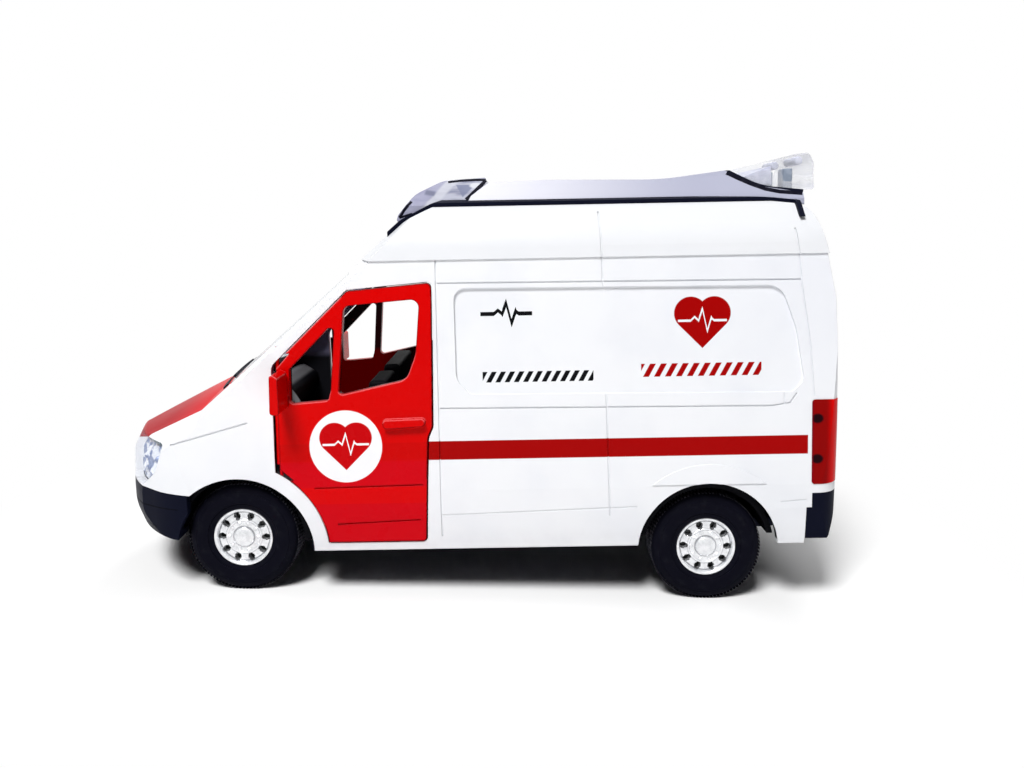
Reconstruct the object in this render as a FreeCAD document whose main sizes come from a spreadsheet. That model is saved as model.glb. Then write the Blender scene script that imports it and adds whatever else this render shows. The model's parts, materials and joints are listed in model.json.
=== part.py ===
import FreeCAD, Part
import math
import os

import Sketcher
from FreeCAD import Placement, Rotation, Vector

# Toy ambulance van with a die-cast body, about 1:36.
# Body frame: x runs aft from the front axle, y to the right-hand side, z up from the datum
# plane under the sills. The body sits nose-down on its wheels, so every piece except the
# wheel sets is turned by the rake when the pieces are placed.

doc = FreeCAD.newDocument("ToyAmbulance")
sheet = doc.addObject("Spreadsheet::Sheet", "sizes")

DRIVING_SIZES = [
    # alias, value, meaning
    ("wheelbase", 98.1, "front axle to rear axle"),
    ("nose_reach", 30.6, "front axle to the foremost point of the bumper"),
    ("tail_reach", 27.5, "rear axle to the rear face"),
    ("body_width", 56.0, "across the widest part of the sides"),
    ("sill_height", 11.2, "datum to the bottom edge of the sides"),
    ("widest_height", 24.0, "height above which the sides lean in"),
    ("gutter_height", 71.6, "joint between body shell and roof cap"),
    ("gutter_width", 50.4, "across the sides at the gutter"),
    ("roof_rise", 11.8, "crown of the roof cap above the gutter"),
    ("roof_edge_width", 36.0, "across the flat of the roof"),
    ("cowl_height", 44.0, "foot of the windscreen on the centre line"),
    ("bonnet_lip_height", 34.6, "front edge of the bonnet"),
    ("wall", 1.7, "thickness of the die-cast walls"),
    ("rake", 2.2, "degrees that the body leans nose-down"),
    ("axle_height", 13.66, "front axle above the datum plane"),
    ("tyre_radius", 11.7, "outside of the tyres"),
    ("tyre_width", 8.0, "across the tread"),
    ("track_outer", 52.0, "across the outer faces of the tyres"),
    ("rim_radius", 6.3, "bead seat of the rims"),
    ("axle_radius", 1.0, "steel axle pins"),
    ("front_arch_radius", 15.6, "front wheel opening"),
    ("rear_arch_radius", 14.7, "rear wheel opening"),
    ("door_gap", 0.3, "between a door and its opening"),
    ("door_proud", 0.25, "door skin outside the body skin"),
    ("hinge_pin_radius", 0.35, "steel wire pins of the doors"),
    ("running_gap", 0.05, "radial clearance on pins and axles"),
    ("plate_height", 10.6, "underside of the base plate"),
    ("plate_thickness", 2.0, "base plate"),
    ("floor_height", 19.0, "top of the interior floor"),
    ("floor_thickness", 1.4, "interior floor"),
    ("recess_depth", 0.5, "panel recess in the sides"),
    ("seam_depth", 0.25, "engraved panel lines"),
    ("seam_width", 0.3, "engraved panel lines"),
    ("light_half_width", 18.0, "roof light unit, from the centre line"),
    ("light_base_thickness", 0.75, "black base of the roof light unit"),
    ("cap_proud", 0.3, "roof cap outside the body skin"),
    ("screw_radius", 1.25, "screw holes in the base plate"),
]
for row, (alias, value, meaning) in enumerate(DRIVING_SIZES, start=1):
    sheet.set(f"A{row}", alias)
    sheet.set(f"B{row}", str(value))
    sheet.set(f"C{row}", meaning)
    sheet.setAlias(f"B{row}", alias)
doc.recompute()


def size(alias):
    return float(sheet.get(alias))


wheelbase = size("wheelbase")
half_width = size("body_width") / 2
wall = size("wall")
gap = size("door_gap")
nose = -size("nose_reach")
tail = wheelbase + size("tail_reach")
sill = size("sill_height")
gutter = size("gutter_height")
roof = gutter + size("roof_rise")
cowl = size("cowl_height")
bonnet_lip = size("bonnet_lip_height")
widest = size("widest_height")
front_axle_z = size("axle_height")
rake = math.radians(size("rake"))
rear_axle_z = front_axle_z - wheelbase * math.tan(rake)
proud = size("door_proud")
cap_proud = size("cap_proud")
rear_slope = 1.7
front_bumper_foot = 14.0
rear_bumper_foot = 12.2
nose_radius = 35.0
dome_half = 20.4
screen_crown = gutter + 4.7
FAR = 200.0

parts = []


# ---------------------------------------------------------------- outlines and solids

def rounded_wire(corners, to_space):
    """Closed wire through flat corners (a, b, radius); to_space turns (a, b) into a Vector."""
    flat = [Vector(a, b, 0) for a, b, _ in corners]
    trimmed = []
    for i, (_, _, radius) in enumerate(corners):
        before, here, after = flat[i - 1], flat[i], flat[(i + 1) % len(flat)]
        if radius <= 0:
            trimmed.append((here, None, here))
            continue
        to_before = (before - here).normalize()
        to_after = (after - here).normalize()
        half_angle = to_before.getAngle(to_after) / 2
        setback = radius / math.tan(half_angle)
        bisector = (to_before + to_after).normalize()
        centre = here + bisector * (radius / math.sin(half_angle))
        trimmed.append((here + to_before * setback, centre - bisector * radius, here + to_after * setback))
    edges = []
    for i, (start, middle, end) in enumerate(trimmed):
        if middle is not None:
            edges.append(Part.Arc(to_space(start), to_space(middle), to_space(end)).toShape())
        following = trimmed[(i + 1) % len(trimmed)][0]
        if (following - end).Length > 1e-6:
            edges.append(Part.makeLine(to_space(end), to_space(following)))
    return Part.Wire(edges)


def side_face(corners):
    return Part.Face(rounded_wire(corners, lambda p: Vector(p.x, 0, p.y)))


def section_face(corners):
    return Part.Face(rounded_wire(corners, lambda p: Vector(0, p.x, p.y)))


def plan_face(corners):
    return Part.Face(rounded_wire(corners, lambda p: Vector(p.x, p.y, 0)))


def inset_face(face, inset):
    return face.makeOffset2D(-inset, join=2) if inset else face


def across(face, y_from=-FAR, y_to=FAR):
    """Prism of a side-view face between two planes across the body."""
    return face.translated(Vector(0, y_from, 0)).extrude(Vector(0, y_to - y_from, 0))


def along(face, x_from=-FAR, x_to=FAR):
    return face.translated(Vector(x_from, 0, 0)).extrude(Vector(x_to - x_from, 0, 0))


def upward(face, z_from=-FAR, z_to=FAR):
    return face.translated(Vector(0, 0, z_from)).extrude(Vector(0, 0, z_to - z_from))


def block(x_from, x_to, y_from, y_to, z_from, z_to):
    corner = Vector(x_from, y_from, z_from)
    return Part.makeBox(x_to - x_from, y_to - y_from, z_to - z_from, corner)


def both_sides(shape):
    return shape.fuse(shape.mirror(Vector(0, 0, 0), Vector(0, 1, 0)))


def add_piece(label, shape):
    """A sub-part whose form is made by Part's functions."""
    shape = shape.removeSplitter()
    if shape.ShapeType == "Compound" and len(shape.Solids) == 1:
        shape = shape.Solids[0]
    feature = doc.addObject("Part::Feature", label)
    feature.Label = label
    feature.Shape = shape
    parts.append(feature)
    return shape


# ---------------------------------------------------------------- the van's outer form

def mirrored(corners):
    return corners + [(-a, b, r) for a, b, r in reversed(corners)]


def side_outline():
    return [
        (nose - 5.0, 7.2, 0),
        (nose - 5.0, bonnet_lip - 1.6, 0),
        (nose + 2.0, bonnet_lip - 0.5, 0),
        (nose + 14.8, bonnet_lip + 5.9, 60.0),
        (-7.6, cowl + 0.5, 0),
        (30.0, screen_crown, 0),
        (44.0, roof - 0.1, 16.0),
        (56.0, roof, 60.0),
        (tail - 14.0, roof - 1.2, 60.0),
        (tail - 5.8, roof - 2.2, 4.0),
        (tail - 3.5, gutter, 0),
        (tail - rear_slope, gutter - 9.0, 8.0),
        (tail, widest - 0.8, 0),
        (tail - 0.5, 22.4, 0),
        (tail - 0.8, 17.0, 8.0),
        (tail - 2.4, rear_bumper_foot, 0.8),
        (tail - 7.4, rear_bumper_foot, 0),
        (tail - 7.4, 7.2, 0),
    ]


def nose_outline():
    """Profile of the nose, the same all the way round the front."""
    return [
        (nose + 5.0, front_bumper_foot, 0),
        (nose + 1.6, front_bumper_foot, 1.4),
        (nose, front_bumper_foot + 5.0, 8.0),
        (nose, 23.0, 0),
        (nose + 0.5, bonnet_lip - 4.0, 4.0),
        (nose + 2.6, bonnet_lip + 0.2, 2.5),
        (nose + 5.4, bonnet_lip + 2.6, 6.0),
        (nose + 5.6, FAR, 0),
        (nose + 90.0, FAR, 0),
        (nose + 90.0, -FAR, 0),
        (nose + 5.0, -FAR, 0),
    ]


def section_outline():
    half_gutter = size("gutter_width") / 2
    half_roof = size("roof_edge_width") / 2
    return mirrored([
        (half_width - 1.2, -FAR, 0),
        (half_width - 1.2, 7.2, 0),
        (half_width - 0.6, sill, 0),
        (half_width, widest - 5.0, 4.0),
        (half_width, widest, 0),
        (half_gutter, gutter, 0),
        (half_gutter - 1.0, gutter + 4.5, 8.0),
        (half_roof, roof - 0.8, 7.0),
        (0.6, roof + 0.2, 0),
    ])


def plan_outline():
    starboard = [
        (nose - 5.0, 0.45 * half_width, 0),
        (nose + 8.0, half_width - 5.4, 14.0),
        (nose + 17.0, half_width, 20.0),
        (tail, half_width, 5.0),
    ]
    return starboard + [(x, -y, radius) for x, y, radius in reversed(starboard)]


def nose_form(inset):
    """Everything behind the nose, which is turned about an upright line."""
    turning_x = nose + nose_radius
    profile = inset_face(side_face(nose_outline()), inset)
    ahead = [(-FAR, -60, 0), (turning_x, -60, 0), (turning_x, 120, 0), (-FAR, 120, 0)]
    profile = profile.common(side_face(ahead))
    drum = profile.revolve(Vector(turning_x, 0, 0), Vector(0, 0, 1), 360.0)
    return drum.fuse(block(turning_x, FAR, -60, 60, -60, 120))


def barrel(foot, top, radius, inset):
    """Everything behind a barrel-shaped surface that runs up the line from foot to top."""
    slope = math.atan2(top[1] - foot[1], top[0] - foot[0])
    reach = half_width + 4.0
    radius_in = radius - inset
    reach_in = reach * radius_in / radius
    low = -2 * FAR
    drop = radius_in - math.sqrt(radius_in ** 2 - reach_in ** 2)
    port, starboard = Vector(0, -reach_in, -inset - drop), Vector(0, reach_in, -inset - drop)
    left, right = Vector(0, -reach_in, low), Vector(0, reach_in, low)
    edges = [Part.Arc(port, Vector(0, 0, -inset), starboard).toShape(), Part.makeLine(starboard, right),
             Part.makeLine(right, left), Part.makeLine(left, port)]
    form = along(Part.Face(Part.Wire(edges)), -FAR, FAR)
    form.rotate(Vector(0, 0, 0), Vector(0, 1, 0), -math.degrees(slope))
    form.translate(Vector(foot[0], 0, foot[1]))
    return form


def envelope(inset=0.0):
    """The closed outer form of the van, moved inward by inset."""
    side = inset_face(side_face(side_outline()), inset)
    section = inset_face(section_face(section_outline()), inset)
    plan = inset_face(plan_face(plan_outline()), inset)
    form = across(side, -60, 60).common(along(section)).common(upward(plan))
    screen = barrel((-7.6, cowl), (30.0, screen_crown), 110.0, inset)
    bonnet = barrel((nose + 4.0, bonnet_lip + 0.8), (-7.6, cowl), 75.0, inset)
    dome = barrel((nose + 4.0, bonnet_lip + 1.3), (-7.6, cowl + 0.5), 63.0, inset)
    strip = block(nose - 5.0, 0.0, -dome_half, dome_half, -FAR, FAR)
    return form.common(screen.fuse(bonnet).fuse(dome.common(strip))).common(nose_form(inset))


def skin(depth_out, depth_in):
    """The layer of the van between two depths below its outer form."""
    return envelope(depth_out).cut(envelope(depth_in))


outer = envelope()
inner = envelope(wall)
casting = outer.cut(inner)


# ---------------------------------------------------------------- openings and panel edges

def across_rod(x, z, radius):
    """Cylinder right across the van."""
    return Part.makeCylinder(radius, 2 * FAR, Vector(x, -FAR, z), Vector(0, 1, 0))


arch_x, arch_z = -0.1, front_axle_z - 2.1
arch_strip = 3.4
front_arch = across_rod(arch_x, arch_z, size("front_arch_radius"))
bumper_arch = across_rod(arch_x, arch_z, size("tyre_radius") + 1.5)
rear_arch = across_rod(wheelbase, rear_axle_z, size("rear_arch_radius"))
door_front_x = 8.5
door_foot = sill + 2.0
door_top = gutter - 4.6
DOOR_CORNERS = [
    # x, z, corner radius
    (39.1, door_foot, 0.8),
    (40.0, door_foot + 22.0, 3.0),
    (41.0, door_foot + 24.2, 2.0),
    (41.4, door_top - 5.0, 0),
    (41.4, door_top, 1.0),
    (24.3, door_top - 1.4, 0.6),
    (door_front_x, cowl + 6.4, 2.0),
    (door_front_x, cowl - 14.2, 0.3),
    (door_front_x + 0.5, door_foot, 0),
]


def side_disc(x, z, radius):
    return Part.Face(Part.Wire(Part.makeCircle(radius, Vector(x, 0, z), Vector(0, 1, 0))))


def door_face(grow=0.0):
    """Outline of the front door seen from the side; its lower front edge runs round the arch."""
    face = side_face(DOOR_CORNERS).cut(side_disc(arch_x, arch_z, size("front_arch_radius") + arch_strip))
    return inset_face(face.Faces[0], -grow)


def quarter_window(grow=0.0):
    return inset_face(side_face([
        (12.0, cowl + 5.9, 0.5), (21.6, cowl + 15.5, 0.8), (20.4, cowl + 1.3, 0),
        (19.8, cowl - 0.8, 0.8), (11.9, cowl - 1.4, 0.8)]), -grow)


def main_window(grow=0.0):
    return inset_face(side_face([
        (23.5, door_top - 4.4, 1.6), (39.0, door_top - 3.2, 1.6), (38.0, cowl + 8.4, 8.0),
        (36.0, cowl + 3.2, 3.0), (33.0, cowl + 2.6, 2.0), (21.9, cowl + 0.2, 0.8)]), -grow)


screen_top = gutter - 3.0
SCREEN_CORNERS = [(21.5, cowl + 1.6, 1.5), (19.0, screen_top, 2.5)]


def screen_face():
    return section_face(mirrored(SCREEN_CORNERS))


def lamp_face():
    return side_face([(nose - 5, bonnet_lip + 0.2, 0), (-15.1, bonnet_lip - 0.1, 0.8), (-17.8, 28.1, 3.0),
                      (-21.4, 25.0, 0.8), (nose - 5, 25.0, 0)])


def tail_lamp_face():
    front, foot, top = tail - 6.4, 24.1, 41.7
    return side_face([(front, foot, 0.6), (front, top, 0.6), (tail + 5, top, 0), (tail + 5, foot, 0)])


def front_bumper_face():
    return side_face([(nose - 5, 5.0, 0), (nose - 5, 25.2, 0), (-21.5, 24.6, 0), (-16.5, 24.1, 0),
                      (-5.0, 23.4, 0), (-5.0, 5.0, 0)])


def rear_bumper_face():
    front = tail - 7.3
    return side_face([(front, 5.0, 0), (front, 19.1, 0), (front + 1.1, 19.1, 0), (front + 1.1, 22.2, 0),
                      (tail + 5, 22.2, 0), (tail + 5, 5.0, 0)])


rear_door_half = half_width - 6.7
rear_door_foot = 23.4
rear_door_top = gutter - 8.0
rear_hinge_gap = 0.5
lamp_inner = rear_door_half + 1.6


def rear_door_face(grow=0.0):
    half = rear_door_half
    return inset_face(section_face([(0.15, rear_door_foot, 0.4), (half, rear_door_foot, 0.4),
                                    (half, rear_door_top, 0.6), (0.15, rear_door_top, 0.4)]), -grow)


def rear_opening():
    half = rear_door_half + rear_hinge_gap
    return section_face([(-half, rear_door_foot - gap, 0.4), (half, rear_door_foot - gap, 0.4),
                         (half, rear_door_top + gap, 0.6), (-half, rear_door_top + gap, 0.6)])


# ---------------------------------------------------------------- hinge lines

# The front doors turn on wires that run in the middle of the door skin, parallel to the
# leaning side; the door's front edge is a half round about the wire.
hinge_depth = wall / 2
pin_radius = size("hinge_pin_radius")
running_gap = size("running_gap")
lean = math.atan((half_width - size("gutter_width") / 2) / (gutter - widest))
door_hinge_x = door_front_x + hinge_depth
door_hinge_dir = Vector(0, math.sin(lean), math.cos(lean))


def on_side_line(z):
    """Point in the middle of the left-hand skin at height z on the hinge line."""
    y = -half_width + (z - widest) * math.tan(lean) + hinge_depth / math.cos(lean)
    return Vector(door_hinge_x, y, z)


def rod_between(start, end, radius):
    return Part.makeCylinder(radius, (end - start).Length, start, end - start)


rear_lean = math.atan(rear_slope / (gutter - 9.0 - widest))
rear_hinge_dir = Vector(-math.sin(rear_lean), 0, math.cos(rear_lean))
rear_hinge_depth = hinge_depth + 0.25
rear_hinge_y = rear_door_half - hinge_depth


def on_rear_line(z):
    return Vector(tail - rear_hinge_depth - (z - widest) * math.tan(rear_lean), -rear_hinge_y, z)


# ---------------------------------------------------------------- body shell and roof

def panel_recess():
    """Shallow recess in the side of the load space."""
    top = gutter - 5.8
    end = wheelbase
    return side_face([(46.0, top, 2.5), (end + 14.6, top - 0.5, 4.0), (end + 17.8, top - 9.4, 12.0),
                      (end + 19.5, top - 20.0, 2.5), (end + 17.2, top - 22.4, 1.5), (49.0, top - 21.8, 2.0),
                      (46.2, top - 19.0, 4.0)])


def seam(points, width):
    """Narrow band along a line of side-view points."""
    bands = []
    for (x1, z1), (x2, z2) in zip(points, points[1:]):
        step = Vector(x2 - x1, 0, z2 - z1).normalize() * (width / 2)
        turn = Vector(-step.z, 0, step.x)
        a, b = Vector(x1, 0, z1) - step, Vector(x2, 0, z2) + step
        corners = [a + turn, b + turn, b - turn, a - turn, a + turn]
        bands.append(Part.Face(Part.makePolygon(corners)))
    band = bands[0].multiFuse(bands[1:]) if len(bands) > 1 else bands[0]
    return band.removeSplitter().Faces[0]


SEAM_LINES = [
    [(42.5, sill + 3.0), (42.5, gutter)],
    [(77.5, sill + 7.0), (76.6, gutter - 10.0), (76.3, gutter)],
    [(tail - 9.3, gutter), (tail - 8.7, gutter - 6.0), (tail - 6.8, gutter - 19.0),
     (tail - 6.0, gutter - 29.0)],
    [(42.5, gutter - 4.7), (tail - 9.0, gutter - 5.2)],
    [(42.5, gutter - 30.4), (wheelbase + 13.0, gutter - 31.0), (wheelbase + 16.6, gutter - 30.4),
     (wheelbase + 17.8, gutter - 28.6)],
    [(wheelbase + 15.4, gutter - 30.3), (wheelbase + 15.4, gutter - 28.2)],
    [(-13.3, bonnet_lip - 0.1), (2.7, bonnet_lip + 4.2)],
]
CAP_SEAM_LINES = [
    [(76.3, gutter), (76.1, gutter + 9.0)],
    [(tail - 9.3, gutter), (tail - 9.8, gutter + 5.0)],
]
RUB_LINES = [[(42.5, 18.7), (83.0, 19.8)], [(wheelbase + 15.0, 20.4), (tail - 7.6, 20.7)]]


def engraving(lines, form_depth):
    width = size("seam_width")
    bed = envelope(form_depth)
    cutters = [across(seam(line, width), 12.0, 60.0).cut(bed) for line in lines]
    cutter = cutters[0].multiFuse(cutters[1:])
    return both_sides(cutter)


def flare_face():
    """Low raised band over the rear wheel opening."""
    disc = side_disc(wheelbase, rear_axle_z, size("rear_arch_radius") + 4.0)
    fore, aft, foot = wheelbase - 30, wheelbase + 30, 24.4
    return disc.common(side_face([(fore, foot, 0), (aft, foot, 0), (aft, 60, 0), (fore, 60, 0)]))


def body_shell():
    shell = casting.common(block(-FAR, FAR, -60, 60, sill, gutter))
    shell = shell.cut(front_arch).cut(rear_arch)
    shell = shell.cut(across(front_bumper_face())).cut(across(rear_bumper_face()))
    shell = shell.cut(across(door_face(gap)))
    shell = shell.cut(along(rear_opening(), tail - 12.0, FAR))
    shell = shell.cut(along(screen_face(), -FAR, 30.0))
    lamps = across(lamp_face(), 13.0, 60.0)
    tail_lamps = across(tail_lamp_face(), lamp_inner, 60.0)
    shell = shell.cut(both_sides(lamps)).cut(both_sides(tail_lamps))
    shell = shell.cut(along(section_face(GRILLE_CORNERS), -FAR, nose + 12.0))
    recess = across(panel_recess(), 12.0, 60.0).cut(envelope(size("recess_depth")))
    shell = shell.cut(both_sides(recess))
    flare = skin(-0.22, 0.3).common(across(flare_face()))
    shell = shell.fuse(flare.cut(rear_arch))
    shell = shell.cut(engraving(SEAM_LINES, size("seam_depth"))).cut(engraving(RUB_LINES, 0.1))
    sweep_radius = hinge_depth + gap
    relief = rod_between(on_side_line(knuckle_low - 1.6), on_side_line(knuckle_high + 1.8), sweep_radius)
    shell = shell.cut(both_sides(relief))
    door_socket = rod_between(on_side_line(door_pin_low), on_side_line(door_pin_high), pin_radius)
    rear_socket = rod_between(on_rear_line(rear_pin_low), on_rear_line(rear_pin_high), pin_radius)
    return shell.cut(both_sides(door_socket.fuse(rear_socket)))


GRILLE_CORNERS = mirrored([(11.0, 25.7, 1.0), (10.6, bonnet_lip - 3.6, 1.0)])
knuckle_low, knuckle_high = cowl - 14.0, cowl + 5.0
door_pin_low, door_pin_high = 25.2, cowl + 10.5
rear_pin_low, rear_pin_high = 22.4, rear_door_top + 2.6

shell = body_shell()
add_piece("body_shell", shell)

cap_front = 25.0
cap = skin(-cap_proud, wall).common(block(cap_front, FAR, -60, 60, gutter, FAR))
marker_region = block(tail - 5.6, FAR, 12.5, 20.5, gutter + 1.4, gutter + 4.6)
cap = cap.cut(both_sides(marker_region))
cap = cap.cut(engraving(CAP_SEAM_LINES, size("seam_depth") - cap_proud))
add_piece("roof_cap", cap)
add_piece("windscreen", skin(0.1, 1.2).common(along(screen_face(), -FAR, 30.0)))
lamp_skin = skin(-0.1, wall)
for label, lamp in (("head_lamp", lamp_skin.common(across(lamp_face(), 13.0, 60.0))),
                    ("tail_lamp", lamp_skin.common(across(tail_lamp_face(), lamp_inner, 60.0))),
                    ("roof_marker", skin(-cap_proud, wall).common(marker_region))):
    add_piece(f"{label}_right", lamp)
    add_piece(f"{label}_left", lamp.mirror(Vector(0, 0, 0), Vector(0, 1, 0)))

grille = skin(0.3, wall).common(along(section_face(GRILLE_CORNERS), -FAR, nose + 12.0))
grille_face = skin(0.0, 0.9)
for slot_z in (26.3, 27.3, 28.3, 29.3):
    grille = grille.cut(block(-FAR, nose + 12.0, -9.6, 9.6, slot_z, slot_z + 0.5).common(grille_face))
add_piece("grille", grille)

bumper = casting.common(across(front_bumper_face())).cut(bumper_arch)
add_piece("front_bumper", bumper.common(block(-FAR, -10.5, -60, 60, front_bumper_foot, FAR)))
tail_piece = casting.common(across(rear_bumper_face()))
add_piece("rear_bumper", tail_piece.common(block(0, FAR, -60, 60, rear_bumper_foot, FAR)))


# ---------------------------------------------------------------- doors

def door_handle():
    """Grip bar that stands out from the door skin."""
    grip = side_face([(31.0, cowl - 6.6, 0.8), (39.6, cowl - 6.2, 0.8),
                      (39.6, cowl - 4.6, 0.7), (31.0, cowl - 4.8, 0.7)])
    return skin(-proud - 1.1, -proud).common(across(grip, 10, 60))


def door_creases():
    """Two pressed lines along the lower half of the door."""
    bed = envelope(size("recess_depth") - proud - 0.2)
    lines = [[(21.0, 17.2), (38.0, 17.9)], [(16.5, 25.0), (38.6, 25.4)]]
    bands = [across(seam(line, size("seam_width")), 12.0, 60.0).cut(bed) for line in lines]
    return bands[0].fuse(bands[1])


def door_mirror():
    """Mirror head, a plate that faces aft, on a short arm cast in one with the door."""
    tip = half_width + 6.0
    head = across(side_face([(9.7, cowl - 1.9, 0.6), (11.6, cowl - 2.2, 0.6), (11.6, cowl + 5.4, 0.6),
                             (10.0, cowl + 6.3, 0.5)]), half_width - 0.6, tip)
    shoulder = plan_face([(0.0, half_width - 4.0, 0), (20.0, half_width - 4.0, 0), (20.0, tip - 1.0, 0),
                          (11.6, tip, 1.4), (10.0, tip, 1.4), (0.0, tip - 3.0, 0)])
    arm = block(9.9, 11.5, half_width - 3.0, half_width, cowl - 1.6, cowl + 0.6)
    return head.common(upward(shoulder)).fuse(arm).cut(envelope(-proud))


def hinge_corners():
    """Slivers by the hinge that would foul the shell as the door swings out."""
    x = door_front_x
    top = [(x - 0.9, knuckle_high + 0.1, 0), (x, knuckle_high + 0.1, 0),
           (x + 3.6, knuckle_high + 4.1, 0), (x - 0.9, knuckle_high + 4.1, 0)]
    foot = [(x - 0.9, knuckle_low - 0.4, 0), (x + 0.2, knuckle_low - 0.4, 0), (x + 1.2, knuckle_low - 1.2, 0),
            (x + 3.6, knuckle_low - 3.3, 0), (x - 0.9, knuckle_low - 3.3, 0)]
    return across(side_face(top)).fuse(across(side_face(foot)))


def front_door():
    """Left-hand leaf with its handle, mirror and hinge knuckle."""
    leaf = skin(-proud, wall).common(across(door_face(), 10.0, 60.0)).cut(hinge_corners())
    leaf = leaf.cut(across(quarter_window())).cut(across(main_window()))
    leaf = leaf.cut(door_creases())
    leaf = leaf.fuse(door_handle()).fuse(door_mirror())
    leaf = leaf.mirror(Vector(0, 0, 0), Vector(0, 1, 0))
    front_strip = block(0, door_hinge_x, -60, 0, door_foot, knuckle_high + 2.0)
    leaf = leaf.cut(front_strip.common(skin(-proud, wall)))
    knuckle = rod_between(on_side_line(knuckle_low), on_side_line(knuckle_high), hinge_depth)
    leaf = leaf.fuse(knuckle)
    foot, head = on_side_line(knuckle_low - 4.0), on_side_line(knuckle_high + 4.0)
    return leaf.cut(rod_between(foot, head, pin_radius + running_gap))


door = front_door()
add_piece("front_door_left", door)
add_piece("front_door_right", door.mirror(Vector(0, 0, 0), Vector(0, 1, 0)))


def rear_window(grow=0.0):
    foot, head = gutter - 26.0, rear_door_top - 3.6
    return inset_face(section_face([(4.2, foot, 1.6), (rear_door_half - 3.4, foot, 1.6),
                                    (rear_door_half - 4.2, head, 2.0), (4.2, head, 2.0)]), -grow)


def rear_door():
    """Left-hand leaf with its window opening, grip and hinge knuckle."""
    aft = tail - 12.0
    leaf = skin(0.0, wall).common(along(rear_door_face(), aft, FAR))
    rebate = along(rear_window(0.7), aft, FAR).cut(envelope(0.35))
    leaf = leaf.cut(along(rear_window(), aft, FAR)).cut(rebate)
    grip = section_face([(1.6, cowl - 7.0, 0.5), (6.8, cowl - 7.0, 0.5),
                         (6.8, cowl - 5.2, 0.5), (1.6, cowl - 5.2, 0.5)])
    leaf = leaf.fuse(skin(-0.7, 0.2).common(along(grip, aft, FAR)))
    leaf = leaf.mirror(Vector(0, 0, 0), Vector(0, 1, 0))
    leaf = leaf.cut(block(tail - 20.0, tail + 5.0, -60, -rear_hinge_y, 0, FAR))
    knuckle = rod_between(on_rear_line(rear_door_foot + 0.1), on_rear_line(rear_door_top - 0.1), hinge_depth)
    leaf = leaf.fuse(knuckle)
    foot, head = on_rear_line(10.0), on_rear_line(rear_pin_high + 5.0)
    return leaf.cut(rod_between(foot, head, pin_radius + running_gap))


rear = rear_door()
add_piece("rear_door_left", rear)
add_piece("rear_door_right", rear.mirror(Vector(0, 0, 0), Vector(0, 1, 0)))
pane = skin(0.35, 1.1).common(along(rear_window(), tail - 12.0, FAR))
add_piece("rear_window_right", pane)
add_piece("rear_window_left", pane.mirror(Vector(0, 0, 0), Vector(0, 1, 0)))


# ---------------------------------------------------------------- roof light unit

light_half = size("light_half_width")
light_base_low = cap_proud + 0.03
light_base_top = light_base_low + size("light_base_thickness")
light_front = 31.8
light_tail = tail + 0.2
light_rear = light_tail - 7.6
light_crown = roof + 0.8
light_foot = roof - 8.0
trim_width = 1.0


def light_section(half):
    return section_face(mirrored([
        (half, roof - 12.0, 0), (half - 0.6, light_crown - 1.4, 0),
        (half - 4.0, light_crown + 3.8, 2.0), (half - 6.0, light_crown + 8.6, 1.0)]))


def light_part(corners, half=light_half):
    """A slice of the unit's upper form, standing on its base."""
    return across(side_face(corners)).common(along(light_section(half))).cut(envelope(-light_base_top - 0.03))


def light_base():
    """Black frame that follows the roof, open between its two front prongs, with a clip at its tail."""
    layer = skin(-light_base_top, -light_base_low)
    frame = layer.common(block(light_front, light_rear, -light_half, light_half, light_foot, FAR))
    frame = frame.cut(block(light_front - 5.0, 43.0, 1.2 - light_half, light_half - 1.2, 0, FAR))
    clip = layer.common(block(light_rear - 1.0, light_rear, -60, 60, gutter + 7.4, FAR))
    return frame.fuse(clip)


def rear_lens_edge(offset):
    """The curved foot of the rear lens, from the top of the cover down to its tail."""
    return [(light_tail - 21.8 + offset, light_crown + 4.9, 0),
            (light_tail - 15.6 + offset, light_crown + 1.5, 14.0),
            (light_tail - 6.0 + offset * 0.2, light_crown - 0.1 + offset * 0.6, 0)]


cover_rear = rear_lens_edge(0.0)
lens_rear = rear_lens_edge(trim_width)
cover_front = [(44.6, light_foot, 0), (49.6, light_crown + 0.4, 0), (53.2, light_crown + 3.2, 3.0),
               (66.0, light_crown + 3.6, 40.0), (90.0, light_crown + 3.2, 60.0)]
front_lens_outline = [
    (33.6, light_crown - 4.9, 0.3), (38.0, light_crown - 3.2, 12.0), (44.0, light_crown - 1.7, 12.0),
    (47.4, light_crown - 1.3, 0), (49.4, light_crown + 0.4, 0), (53.4, light_crown + 4.4, 0.4),
    (43.6, light_crown + 3.9, 8.0), (37.6, light_crown + 1.0, 6.0), (34.0, light_crown - 3.4, 1.0)]
rear_lens_crown = [(light_tail - 3.6, light_crown + 0.4, 0.8), (light_tail - 2.6, light_crown + 6.2, 0.6),
                   (light_tail - 3.4, light_crown + 8.5, 0.7), (light_tail - 6.6, light_crown + 8.1, 6.0)]
add_piece("light_base", light_base())
add_piece("light_cover", light_part(cover_front + cover_rear + [(light_tail - 6.0, light_foot, 0)]))
add_piece("light_front_lens", light_part(front_lens_outline, light_half - 1.0))
add_piece("light_trim", light_part(cover_rear + lens_rear[::-1]))
add_piece("light_rear_lens", light_part(lens_rear + rear_lens_crown))


# ---------------------------------------------------------------- sketches bound to the sheet

def plane_of(body, role):
    return next(item for item in body.Origin.OriginFeatures if item.Role == role)


def new_body(label):
    body = doc.addObject("PartDesign::Body", label)
    body.Label = label
    return body


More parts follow.
